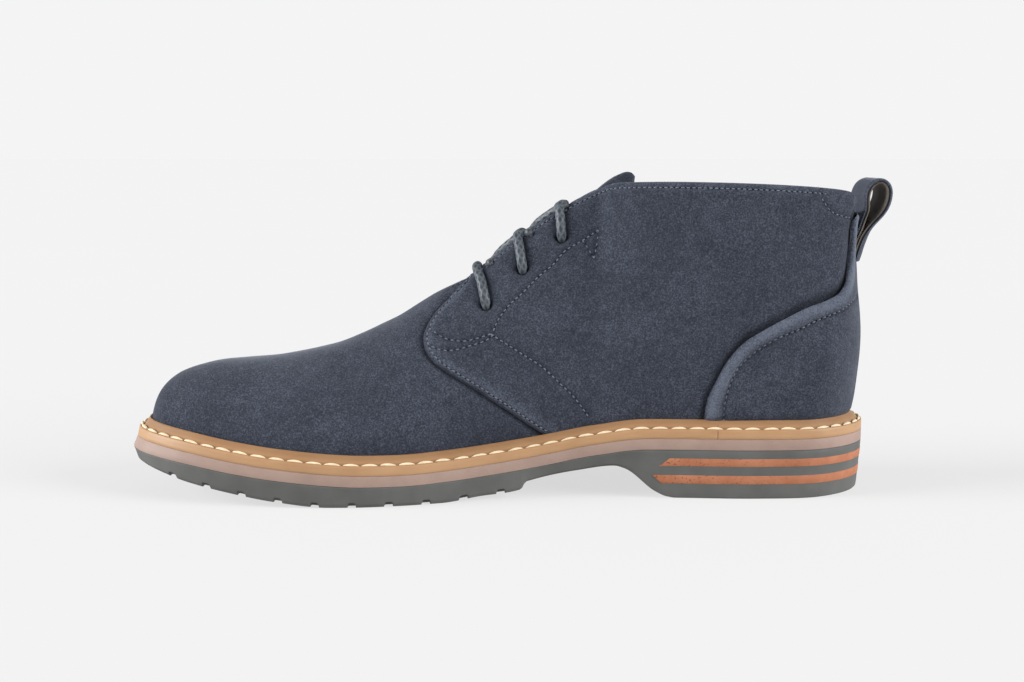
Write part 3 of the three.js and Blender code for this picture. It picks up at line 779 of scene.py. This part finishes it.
THROAT = angle_of(THROAT_END)
TOPLINE = wall(np.concatenate([np.linspace(-THROAT, 0, 240), np.linspace(0, THROAT, 240)[1:]]), 1.0)
QUARTER_SEAMS = [SECOND_SEAM, FACING_SEAM, *TRIANGLE_SEAMS, BAR_SEAM, LOWER_BAR_SEAM, PANEL_SEAM]
QUARTER_LINES = [line for rows in QUARTER_SEAMS for line in both_sides(rows)]
FRONT_LINES = both_sides(QUARTER_FRONT, 260)
COUNTER_EDGES = both_sides(COUNTER_FRONT, 240)


def crease_depth(points):
    depth = 0.3 * unevenness(points, 34, 5) + 0.1 * unevenness(points, 13, 8)
    for places, lift, width in CREASES:
        for line in both_sides(table("foot z", places), 24):
            depth = depth + lift * hump(distance_to(points, line), width)
    return depth


def lifted_crest(normals, angle, t, throat=0.0):
    """Normals that turn straight up along the toe's crest, where the rows close up."""
    up = smooth(0.84, 0.97, t) * np.maximum(smooth(236, 258, station_of(angle)), throat)
    return normals * (1 - up[..., None]) + np.array([0, 0, 1.0]) * up[..., None]


def mirrored(columns, share, fine):
    """Places from -1 to 1, closer together over the last share at both ends."""
    half = np.concatenate([
        np.linspace(0, 1 - share, columns, endpoint=False), np.linspace(1 - share, 1, fine),
    ])
    return np.concatenate([-half[::-1], half[1:]])[:, None]


def make_vamp():
    """One sheet round the toe, under the quarters at both ends and joined along its crest."""
    columns = 330
    t = np.linspace(0, 1, 100)
    front = front_angle(t)
    rear = np.maximum(front - 0.085, 0.2)
    rear = np.where(t > 0.9, np.minimum(rear, angle_of(150)), rear)
    one_side = rear + (math.pi - rear) * np.linspace(0, 1, columns)[:, None]
    angle = np.concatenate([-one_side, one_side[::-1][1:]])
    points = wall(angle, t, VAMP_DIP)
    number = numbered(*angle.shape)
    number[columns:, -1] = number[: columns - 1, -1][::-1]
    faces = quads(number)[:, ::-1]
    normals = vertex_normals(points, faces)
    normals[columns:, -1] = normals[: columns - 1, -1][::-1]
    normals = lifted_crest(normals, angle, t, smooth(175, 172, station_of(angle)))
    edge = nearest(points, FRONT_LINES)
    covered = np.abs(angle) < front
    sunk = np.where(covered, 1.0, hump(edge, 2.6))
    near_foot = np.clip(1 - t / 0.1, 0, 1)
    offset = -UNDER_QUARTER * sunk + crease_depth(points) * (1 - sunk) * (1 - near_foot)
    offset -= 0.8 * covered * smooth(1.5, 5, edge)
    # Painted shade: a thin shadow along the quarter's front edge. It also grows darker down towards the
    # foot.
    shade = -0.7 * hump(edge, 1.1) - 0.3 * smooth(0.3, 0, t)
    used, faces = np.unique(faces, return_inverse=True)
    points = raised(points, normals, offset).reshape(-1, 3)[used]
    make_piece("vamp", points, faces.reshape(-1, 4), SUEDE, "suede", ["upper"], shade.ravel()[used])


def quarter_relief(points, angle, t):
    """How far the quarters' suede stands off the wall, and its painted light and shade."""
    front = nearest(points, FRONT_LINES)
    top = distance_to(points, TOPLINE)
    stitched = nearest(points, QUARTER_LINES)
    counter_edge = nearest(points, COUNTER_EDGES)
    inside_counter = np.abs(angle) < angle_of(along(COUNTER_FRONT, "z", "foot", points[..., 2]))
    lace = nearest(points, [path[::4] for _, path in LACES.values()])
    hole = nearest(points, EYELET_LINES)
    # The collar and the front edge roll over, each with a padded band behind a sewn channel.
    offset = QUARTER_LIFT - (QUARTER_LIFT + WALL / 2) * (1 - rolled(top, COLLAR_ROLL))
    offset -= (QUARTER_LIFT + UNDER_QUARTER) * (1 - rolled(front, 1.1))
    offset += 0.5 * hump(front - 3.2, 2.2) - 0.35 * hump(front - 1.7, 0.5) * (top > 4)
    offset += 0.2 * hump(top - 3.4, 1.8) - 0.25 * hump(top - 2.4, 0.55)
    # Stitching pulls the suede in, and it swells beside the seam.
    offset -= 0.4 * hump(stitched, 0.8)
    offset += 0.18 * hump(stitched - 2.2, 1.3)
    offset += crease_depth(points) * smooth(2, 9, front) * smooth(2, 8, top)
    # It dips under the counter, under the laces and into the eyelets.
    offset -= 0.8 * np.where(inside_counter, 1, hump(counter_edge, 1.8))
    offset -= 1.3 * hump(lace, 2.3)
    offset -= 2.2 * smooth(2.8, 1.9, hole)
    near_foot = np.clip(1 - t / 0.06, 0, 1)
    offset = offset * (1 - near_foot) + near_foot * np.minimum(offset, 0)
    # Painted light and shade: highlights on the padded front edge and the collar's roll; shade along the
    # stitching, the counter's edge, round the eyelets, under the laces and at the front edge. It also grows
    # darker down towards the foot.
    shade = 0.35 * hump(front - 2.2, 2.4) + 0.2 * hump(top - 1.4, 1.6) - 0.25 * hump(stitched, 0.8)
    shade = shade - 0.7 * hump(counter_edge, 1.5) - 0.6 * smooth(3.2, 2, hole) - 0.5 * hump(lace, 2.6)
    shade = shade - 0.35 * smooth(0.1, 0, t) - 0.6 * hump(front, 0.7)
    return offset, shade


def make_quarters():
    t = np.concatenate([np.linspace(0, 0.975, 118, endpoint=False), np.linspace(0.975, 1, 12)])
    angle = front_angle(t) * mirrored(246, 0.03, 14)
    points = wall(angle, t)
    faces = grid_faces(*angle.shape)
    offset, shade = quarter_relief(points, angle, t)
    points = raised(points, vertex_normals(points, faces), offset)
    make_piece("quarters", points, faces, SUEDE, "suede", ["upper"], shade)


def make_lining():
    t = np.concatenate([np.linspace(0, 0.96, 70, endpoint=False), np.linspace(0.96, 1, 10)])
    angle = np.linspace(-math.pi, math.pi, 300)[:, None]
    points = wall(angle, t)
    faces = grid_faces(*points.shape[:2])
    normals = lifted_crest(vertex_normals(points, faces), angle, t)
    top = distance_to(points, TOPLINE)
    offset = WALL / 2 * (1 - rolled(top, COLLAR_ROLL)) - WALL - 0.05
    offset += 0.2 * unevenness(points, 30, 3) * smooth(2, 9, top)
    points = raised(points, normals, offset)
    make_piece("lining", points, faces[:, ::-1], LINING, "lining", ["upper"])


def make_counter():
    """The heel's overlay, with a fat padded rim, which narrows to the back strip above."""
    foot = 29.2
    across = mirrored(92, 0.13, 18)
    top = 111.9 + 2.3 * across**2
    z = foot + (top - foot) * np.linspace(0, 1, 190)
    angle = angle_of(along(COUNTER_FRONT, "z", "foot", z)) * across
    points = wall(angle, height_on_wall(angle, np.minimum(z, section(angle, "z") - 1.5)))
    faces = grid_faces(*angle.shape)
    edge = nearest(points, COUNTER_EDGES)
    seam = nearest(points, both_sides(COUNTER_SEAM, 120))
    tower = smooth(80, 92, z)
    height = 1.25 + 0.35 * tower
    offset = -0.7 + (height + 0.7) * rolled(edge, 1.7) + 0.75 * hump(edge - 3.2, 2.4) * (1 - 0.5 * tower)
    offset -= 0.55 * hump(seam, 0.8) - 0.2 * hump(seam - 2.4, 1.6)
    offset -= (height + 0.6) * (1 - rolled(top - z, 1.5))
    offset += 0.35 * unevenness(points, 30, 21) * smooth(1, 7, edge)
    near_foot = np.clip((33 - z) / 3.6, 0, 1)
    offset = offset * (1 - near_foot) + 0.35 * near_foot
    points = raised(points, vertex_normals(points, faces), offset)
    # Lighter along the padded rim, partly painted highlight and partly lighter brushed nap; painted shade at
    # its edge and in the seam. It also grows darker towards the bottom.
    shade = 0.9 * hump(edge - 3, 2.8) - 0.5 * hump(edge, 0.7) - 0.3 * hump(seam, 0.8)
    shade = shade - 0.3 * smooth(36, 30, z) + 0.06
    make_piece("heel_counter_cover", points, faces, SUEDE, "suede", ["heel_counter"], shade)


def make_tongue():
    """The tongue is stitched under the vamp, bridges the throat and stands above the collar."""
    stations = np.linspace(167, 112, 120)[:, None]
    t = np.linspace(0.7, 1, 36)
    under = 3.4 * (1 - smooth(1 - BRIDGE, 1, t))[:, None]
    sides = []
    for side in (MEDIAL, LATERAL):
        angle = side * angle_of(stations) + 0 * t
        sides.append(wall(angle, t, TONGUE_DIP) - wall_normal(angle, 0.86 + 0 * angle) * under)
    grid = np.concatenate([sides[0], sides[1][:, -2::-1]], axis=1)
    middle = grid[-1, len(t) - 1, 1]
    tip = []
    for share in np.linspace(0, 1, 26)[1:]:
        row = grid[-1].copy()
        row[:, 0] += 13.4 * share
        row[:, 1] = middle + (row[:, 1] - middle) * (1 - (0.86 * share) ** 5) ** 0.35
        row[:, 2] += 12.6 * share - 4.6 * share**2 - 3.5 * share**10
        tip.append(row)
    grid = np.concatenate([grid, np.array(tip)])
    faces = grid_faces(*grid.shape[:2])
    normals = vertex_normals(grid, faces)
    border = np.concatenate([grid[:, 0], grid[-1], grid[::-1, -1]])
    edge = distance_to(grid, border[::3])
    half = 1.1 * rolled(edge, 1.4)
    waver = 0.25 * unevenness(grid, 24, 31)
    points, faces = joined([
        (raised(grid, normals, waver + half), faces), (raised(grid, normals, waver - half), faces[:, ::-1]),
    ])
    # Painted highlight along the rolled edge; a little darker overall.
    shade = 0.25 * hump(edge, 1.5) - 0.15
    make_piece("tongue_cover", points, faces, SUEDE, "suede", ["tongue"], np.stack([shade, shade]))


def make_insole():
    s = station_of(np.linspace(0.02, math.pi - 0.02, 160))
    across = np.linspace(-1, 1, 40)
    inset = along(MARGIN, "s", "width", s) + WALL + 2 * GAP
    left, right = (inside_edge(side * angle_of(s), inset)[:, None] for side in (MEDIAL, LATERAL))
    share = (across[:, None] + 1) / 2
    flat = left * (1 - share) + right * share
    base = (seat_at(s) + GAP)[:, None]
    cup = 1.6 * np.abs(across) ** 4 * smooth(190, 60, s)[:, None]
    number = numbered(*flat.shape[:2])
    faces = quads(number)
    points, all_faces = joined([
        (at_height(flat, base + INSOLE_THICK + cup), faces[:, ::-1]), (at_height(flat, base), faces),
    ])
    rim = np.concatenate([number[:, 0], number[-1, 1:], number[::-1, -1][1:], number[0, ::-1][1:]])
    side = quads(np.stack([rim, rim + number.size], 1))
    make_piece("footbed", points, np.concatenate([all_faces, side]), FOOTBED, "lining", ["insole"])


# ---- stitches ----
def stitch_shapes(centres, runs, outs, length, width, height, arch=0.0, around=8, steps=7):
    """Small rounded threads, one at each centre, as one mesh."""
    u = np.linspace(-1, 1, steps)[:, None]
    turn = np.linspace(0, 2 * math.pi, around, endpoint=False)
    body = np.sqrt(np.maximum(1 - np.abs(u) ** 2.4, 0.02))
    runs = unit(runs)
    sides = unit(np.cross(outs, runs))
    local = (
        (runs, u * length / 2 + 0 * turn),
        (sides, body * np.cos(turn) * width / 2),
        (outs, body * np.sin(turn) * height / 2 + arch * (0.5 - u**2)),
    )
    points = centres[:, None, None]
    for direction, reach in local:
        points = points + reach[..., None] * direction[:, None, None]
    faces = tube_faces(steps, around)
    last = (steps - 1) * around
    ends = np.array([[0, k, k + 1, k + 2] for k in range(1, around - 1, 2)])
    faces = np.concatenate([faces, ends[:, ::-1], ends + last])
    starts = np.arange(len(centres)) * steps * around
    return points.reshape(-1, 3), (faces + starts[:, None, None]).reshape(-1, 4)


def row_places(angle, t, pitch, skip):
    """Evenly spaced places along a seam on the wall, with the directions along and out of it."""
    length = lengths_along(wall(angle, t))
    count = max(int((length[-1] - 2 * skip) / pitch), 2)
    even = np.linspace(skip, length[-1] - skip, count)
    angle = np.interp(even, length, angle)
    t = np.interp(even, length, t)
    points = wall(angle, t)
    return points, np.gradient(points, axis=0), wall_normal(angle, t), angle, t


def offset_seam(angle, t, distance):
    """A seam moved sideways along the wall, towards the heel for a positive distance."""
    side = np.cross(wall_normal(angle, t), unit(np.gradient(wall(angle, t), axis=0)))
    side *= np.sign(side[:, 0].mean()) * distance
    slopes = np.stack(wall_slopes(angle, t), -1)
    moved = np.array([np.linalg.lstsq(slope, aim, rcond=None)[0] for slope, aim in zip(slopes, side)])
    return angle + moved[:, 0], np.minimum(t + moved[:, 1], 1)


def make_upper_stitches():
    threads = []
    hole_shades = []

    def sew(angle, t, pitch, lift=None, skip=0.5):
        centres, runs, normals, angle, t = row_places(angle, t, pitch, skip)
        if lift is None:
            lift = quarter_relief(centres, angle, t)[0][:, None] + 0.1
        centres = centres + normals * lift
        threads.append(stitch_shapes(centres, runs, normals, 0.64 * pitch, 0.54, 0.46, 0.12))
        between = (centres[1:] + centres[:-1]) / 2 - normals[1:] * 0.05
        # a dark speck between each two stitches, painted shade for the hole's shadow
        hole_shades.append(stitch_shapes(between, runs[1:], normals[1:], 0.62, 0.62, 0.4, 0, 6, 5))

    front = {name: column[1:14] for name, column in QUARTER_FRONT.items()}
    for side in (MEDIAL, LATERAL):
        for rows in QUARTER_SEAMS:
            sew(*seam_on_wall(rows, side), 1.8 if len(rows["foot"]) == 3 else 2.15)
        sew(*offset_seam(*seam_on_wall(front, side), 1.8), 2.15)
        sew(*seam_on_wall(COUNTER_SEAM, side), 2.3, 0.9)
        collar = side * np.linspace(angle_of(30), angle_of(160), 300)
        climb = np.linalg.norm(wall(collar, 0.97) - wall(collar, 1.0), axis=1) / 0.03
        sew(collar, 1 - 2.4 / np.maximum(climb, 1), 2.15)
    make_piece("navy_stitches", *joined(threads), THREAD, "suede", ["upper"])
    make_piece("stitch_hole_shade", *joined(hole_shades), PIT, "suede", ["upper"])


# ---- laces ----
def top_angle(s):
    """The angle at which the wall's top reaches a station, along the throat."""
    tops = np.linspace(angle_of(100), angle_of(175), 4000)
    return np.interp(s, section(tops, "top"), tops)


def eyelet_place(k, side):
    angle = side * top_angle(LACE_ROWS["s"][k])
    return angle, height_on_wall(angle, section(angle, "z") - LACE_ROWS["drop"][k])


def lace_climb(k, side):
    """From inside the boot, out of an eyelet, up the facing and over the throat's edge."""
    angle, t = eyelet_place(k, side)
    end = side * top_angle(LACE_ROWS["s"][k] + LACE_ROWS["lean"][k])
    hole = wall(angle, t)
    out = wall_normal(angle, t)
    points = [hole - 4.2 * out - [0, 0, 1.0], hole - 1.6 * out]
    for share, lift in ((0.16, 0.75), (0.45, 1.05), (0.8, 1.0)):
        here = angle + (end - angle) * share
        up = t + (1 - t) * share
        points.append(wall(here, up) + wall_normal(here, up) * lift)
    crest = wall(end, 1.0) + np.array([0, 0.5 * side, 0.75])
    return [*points, crest, crest + np.array([0.7 * LACE_ROWS["bend"][k], -1.6 * side, 0.5])]


def lace_path(points):
    return spline(points, 260)


def crossing_path(k, side, over):
    """Climbs from an eyelet, crosses the throat and tucks under the facing opposite."""
    middle = (LACE_ROWS["s"][k] + LACE_ROWS["lean"][k] + LACE_ROWS["s"][k - 1]) / 2
    edge = angle_of(middle)
    centre = (wall(edge, 1.0) + wall(-edge, 1.0)) / 2 + np.array([0, 0, over - 1.8])
    tuck_edge = wall(-side * angle_of(middle + 3.4), 1.0)
    tuck = tuck_edge + np.array([0, 1.6 * side, 0.2 * over - 2.2])
    inside = tuck_edge + np.array([-2.0, -2.4 * side, -3.4])
    return lace_path([*lace_climb(k, side), centre, tuck, inside])


def bar_path(k):
    medial = lace_climb(k, MEDIAL)
    lateral = lace_climb(k, LATERAL)
    middle = (medial[-1] + lateral[-1]) / 2 + np.array([0, 0, -0.5])
    return lace_path([*medial, middle, *lateral[::-1]])


def eyelet_line(k, side):
    """A short line through an eyelet, along its axis."""
    place = eyelet_place(k, side)
    hole = wall(*place)
    out = wall_normal(*place)
    return np.array([hole - out, hole + out])


LACES = {
    "lace_bar": ("lace_bar_1", bar_path(0)),
    "lace_second_over": ("lace_crossing_2", crossing_path(1, MEDIAL, OVER)),
    "lace_second_under": ("lace_crossing_2", crossing_path(1, LATERAL, UNDER)),
    "lace_third_over": ("lace_crossing_3", crossing_path(2, MEDIAL, OVER)),
    "lace_third_under": ("lace_crossing_3", crossing_path(2, LATERAL, UNDER)),
}
EYELET_LINES = [eyelet_line(k, side) for k in range(3) for side in (MEDIAL, LATERAL)]


def braid(length, turn):
    """How proud a round cord's plaits stand, from -1 to 1."""
    lay = length * 2 * math.pi / BRAID_PITCH
    return np.maximum(np.cos(5 * turn + lay), np.cos(5 * turn - lay))


def braided_cord(path, sides):
    """A closed round cord along a path, and how proud each of its points stands."""
    run = unit(np.gradient(path, axis=0))
    across = [unit(np.cross(run[0], [0.3, 0.2, 1.0]))]
    for ahead in run[1:]:
        across.append(unit(across[-1] - ahead * (across[-1] @ ahead)))
    across = np.array(across)
    turn = np.linspace(0, 2 * math.pi, sides, endpoint=False)
    proud = braid(lengths_along(path)[:, None], turn)
    radius = LACE_RADIUS * (0.97 + 0.03 * proud)
    ring = path[:, None] + (radius * np.cos(turn))[..., None] * across[:, None]
    ring = ring + (radius * np.sin(turn))[..., None] * np.cross(run, across)[:, None]
    faces = [tube_faces(len(path), sides)]
    count = ring.shape[0] * sides
    for centre, start, order in ((count, 0, -1), (count + 1, count - sides, 1)):
        for k in range(0, sides, 2):
            cap = [centre, *(start + (k + m) % sides for m in range(3))]
            faces.append([cap[::order]])
    points = np.concatenate([ring.reshape(-1, 3), path[:1], path[-1:]])
    return points, np.concatenate(faces), np.array([*proud.ravel(), 0, 0])


def make_laces():
    for name, (node, path) in LACES.items():
        points, faces, shade = braided_cord(path, 40)
        # the braid's proudness goes to the cord as its painted light and shade
        make_piece(name, points, faces, LACE_CORD, "lace", [node], shade)


# ---- pull loop ----
def make_pull_loop():
    """A strap of suede, lined inside, folded from inside the collar to the back strip."""
    path = spline(np.stack([HEEL_X - LOOP_PATH["s"], LOOP_PATH["z"]], -1), 150)
    run = unit(np.gradient(path, axis=0))
    across = np.linspace(-1, 1, 34)
    edge = (1 - np.abs(across)) * LOOP_WIDTH / 2
    waver = 0.25 * np.sin(np.linspace(0, 7, len(path)))[:, None] * across
    wrap = LOOP_WRAP * (1 - smooth(LOOP_ROUND_BELOW, LOOP_FLAT_ABOVE, path[:, 1:])) * across**2
    y = HEEL_Y + across * LOOP_WIDTH / 2 + 0 * waver
    faces = grid_faces(*waver.shape)
    # Painted highlight along the strap's rolled edges.
    shade = np.broadcast_to(0.35 * hump(edge, 1.2), (2, *waver.shape))
    layers = (
        ("pull_loop_suede", 0.0, 1.35, SUEDE, "suede"),
        ("pull_loop_lining", -1.1, -0.05, LINING, "lining"),
    )
    for name, low, high, material, slot in layers:
        half = (high - low) / 2
        sheets = []
        for side, side_faces in ((1, faces), (-1, faces[:, ::-1])):
            offset = (low + high) / 2 + side * half * rolled(edge, half) + waver
            x = path[:, :1] - run[:, 1:] * offset - wrap
            z = path[:, 1:] + run[:, :1] * offset
            sheets.append((np.stack([x, y, z], -1), side_faces))
        make_piece(name, *joined(sheets), material, slot, ["pull_loop"], shade)


# ---- the sole ----
def make_welt():
    """A storm welt: a flat side, a groove for the stitches and a lip against the upper."""
    angle = np.sort(np.concatenate([round_angles(860), -angle_of(WELT_JOINT + np.linspace(-0.5, 0.5, 9))]))
    s = station_of(angle)
    seat = seat_at(s) + GAP
    joint = 0.3 * hump(s - WELT_JOINT, 0.22) * (angle < 0)
    lines = []
    shade = []
    for inset, height in zip(WELT_PROFILE["inset"], WELT_PROFILE["height"]):
        edge = inside_edge(angle, inset + joint + toe_lean(s) * (1 + height / (2 * WELT_SIDE)))
        lines.append(at_height(edge, seat + height))
        # painted shade in the stitch groove and on the top face beside the upper; darker at the joint too
        shade.append(-1.1 * hump(inset - WELT_GROOVE, 0.65) - 0.25 * (inset > 1.8) - 1.2 * joint)
    outer = lines[-1]
    outward = sole_edge(angle)[1]

    def by_upper(height, lead):
        """A line round the upper at a height over the seat, a lead away from it."""
        line = wall(angle, height_on_wall(angle, seat + min(height, WELT_LIP)))
        line[:, :2] += outward * lead
        return line

    lip = by_upper(WELT_LIP, 0.8)
    for height, line in (
        (5.75, outer * 0.5 + lip * 0.5), (6.5, outer * 0.15 + lip * 0.85), (6.9, by_upper(6.9, 0.75)),
        (6.75, by_upper(6.75, 0.2)), (3.5, by_upper(3.5, 0.1)),
    ):
        lines.append(at_height(line[:, :2], seat + height))
        # painted shade where the welt's lip meets the upper, deeper further down
        shade.append(np.full(len(angle), -0.45 if height > 5 else -0.9))
    faces = grid_faces(len(angle), len(lines), around=True)
    make_piece("welt_cover", np.stack(lines, 1), faces, WELT, "tan_welt", ["welt"], np.stack(shade, 1))


def make_welt_stitches():
    fine = np.linspace(-math.pi, math.pi, 4000)
    s = station_of(fine)
    at, outward = sole_edge(fine, WELT_STITCH_INSET + 1.5 * toe_lean(s))
    line = at_height(at, seat_at(s) + GAP + 3.75)
    length = lengths_along(line)
    count = int(length[-1] / WELT_STITCH_PITCH)
    even = (np.arange(count) + 0.5) * length[-1] / count
    centres = read_at(line, length, even)
    centres[:, 2] += np.random.default_rng(7).uniform(-0.08, 0.08, count)
    runs = read_at(line, length, even + 1) - centres
    lean = unit(at_height(0.45 * read_at(outward, length, even), 1.0))
    points, faces = stitch_shapes(centres, runs, lean, 6.5, 1.3, 1.0, 0.5, 12, 13)
    make_piece("welt_stitches", points, faces, CREAM, "tan_welt", ["welt"])


def make_midsole():
    """A plate with the sole's outline and softened edges."""
    bevel = 0.12
    angle = round_angles(620)
    s = station_of(angle)
    low = outsole_top(s) + 0.04
    high = seat_at(s)
    lines = []
    for inset, share, lift in (
        (9, 1, 0), (bevel, 1, 0), (0.3 * bevel, 1, -0.35 * bevel), (0, 1, -bevel), (0, 0.5, 0),
        (0, 0, bevel), (0.3 * bevel, 0, 0.35 * bevel), (bevel, 0, 0), (9, 0, 0),
    ):
        edge = inside_edge(angle, inset + toe_lean(s) * share)
        lines.append(at_height(edge, low + (high - low) * share + lift))
    faces = grid_faces(len(angle), len(lines), around=True)[:, ::-1]
    make_piece("midsole_cover", np.stack(lines, 1), faces, PINK, "pink_midsole", ["midsole"])


def within(low, high, s):
    return smooth(low, low + 1, s) * smooth(high, high - 1, s)


def tread_depth(s, inset):
    """How deep the tread is cut at a station and a distance in from the sole's edge."""
    from_slot = np.abs((s - LUG_CENTRE + LUG_PITCH / 2) % LUG_PITCH - LUG_PITCH / 2)
    slot = smooth(LUG_SLOT / 2 + 0.25, LUG_SLOT / 2 - 0.25, from_slot)
    slot = slot * smooth(LUG_REACH + 1, LUG_REACH, inset)
    from_bar = np.abs((s - LUG_CENTRE) % LUG_PITCH - LUG_PITCH / 2)
    bar = smooth(1.3, 0.8, from_bar) * smooth(LUG_REACH + 2, LUG_REACH + 3, inset)
    forefoot = within(147, 290, s) * np.maximum(slot, 0.8 * bar)
    from_heel_bar = np.abs((s - HEEL_BAR_PITCH) % HEEL_BAR_PITCH - HEEL_BAR_PITCH / 2)
    heel = within(14, 72, s) * smooth(1.2, 0.8, from_heel_bar) * smooth(7, 8, inset)
    return TREAD_DEPTH * np.maximum(forefoot, 0.7 * heel)


def make_outsole():
    """Rubber with a heel, an arch and a tread. Its columns run over it from side to side."""
    s = np.concatenate([
        station_of(np.linspace(0.012, float(angle_of(78)), 90, endpoint=False)),
        np.linspace(78, 110, 60, endpoint=False), np.linspace(110, 146, 40, endpoint=False),
        np.linspace(146, 292, 330, endpoint=False),
        station_of(np.linspace(float(angle_of(292)), math.pi - 0.012, 30)),
    ])
    top = outsole_top(s)
    low = along(UNDERSIDE, "s", "z", s)

    def side_columns(side):
        """Down one side and round its bottom corner: points, and how deep in the tread."""
        angle = side * angle_of(s)
        for share in (1, *np.linspace(0.97, 0.12, 12)):
            edge = inside_edge(angle, HEEL_DRAFT * (1 - share) + (0.25 if share == 1 else 0))
            z = np.maximum(low + (top - low) * share, low + tread_depth(s, 0.0) + 0.05)
            yield at_height(edge, z), 0 * s
        for turn in np.radians([0, 30, 60, 90]):
            inset = OUTSOLE_CORNER * (1 - math.cos(turn))
            cut = tread_depth(s, inset)
            z = low + OUTSOLE_CORNER * (1 - math.sin(turn)) + cut
            yield at_height(inside_edge(angle, HEEL_DRAFT + inset), z), cut

    medial = list(side_columns(MEDIAL))
    lateral = list(side_columns(LATERAL))
    start, end = medial[-1][0][:, :2], lateral[-1][0][:, :2]
    width = np.linalg.norm(end - start, axis=1)
    shares = np.concatenate([np.linspace(2, LUG_REACH + 4, 14), np.linspace(LUG_REACH + 6, 30, 5)]) / 70
    middle = []
    for share in (*shares, 0.5, *(1 - shares[::-1])):
        cut = tread_depth(s, np.minimum(share, 1 - share) * width)
        middle.append((at_height(start * (1 - share) + end * share, low + cut), cut))
    grid, cuts = (np.stack(part, 1) for part in zip(*medial, *middle, *lateral[::-1]))
    number = numbered(*cuts.shape)
    lid = quads(number[:, [0, -1]])[:, [0, 3, 2, 1]]
    faces = np.concatenate([quads(number), lid])[:, ::-1]
    # the tread's depth goes to the rubber as painted shade in its slots
    make_piece("outsole_cover", grid, faces, RUBBER, "grey_rubber", ["outsole"], -cuts / TREAD_DEPTH)


def make_stripes():
    """Thin bands let into the heel, round its back, with soft edges."""
    share = np.linspace(-1, 1, 260)
    for stripe in STRIPES:
        low, high = stripe["low"], stripe["high"]
        top_end, bottom_end = angle_of(stripe["top_end"]), angle_of(stripe["bottom_end"])
        lines = []
        for end, inset, z in (
            (top_end, 2.2, high), (top_end, -0.2 * STRIPE_PROUD, high), (top_end, -STRIPE_PROUD, high - 0.2),
            ((top_end + bottom_end) / 2, -STRIPE_PROUD, (high + low) / 2),
            (bottom_end, -STRIPE_PROUD, low + 0.2), (bottom_end, -0.2 * STRIPE_PROUD, low),
            (bottom_end, 2.2, low),
        ):
            edge = inside_edge(share * end, inset + HEEL_DRAFT * (1 - z / outsole_top(0.0)))
            lines.append(at_height(edge, z))
        number = numbered(len(share), len(lines))
        caps = [row[[0, 1, 5, 6, 1, 2, 4, 5]].reshape(2, 4) for row in (number[0], number[-1][::-1])]
        faces = np.concatenate([quads(number), quads(number[:, [-1, 0]]), *caps])
        make_piece(stripe["name"] + "_inlay", np.stack(lines, 1), faces, ORANGE, "orange_inlay",
                   [stripe["name"]])


make_camera()
make_studio()
make_vamp()
make_quarters()
make_lining()
make_counter()
make_tongue()
make_insole()
make_upper_stitches()
make_laces()
make_pull_loop()
make_welt()
make_welt_stitches()
make_midsole()
make_outsole()
make_stripes()
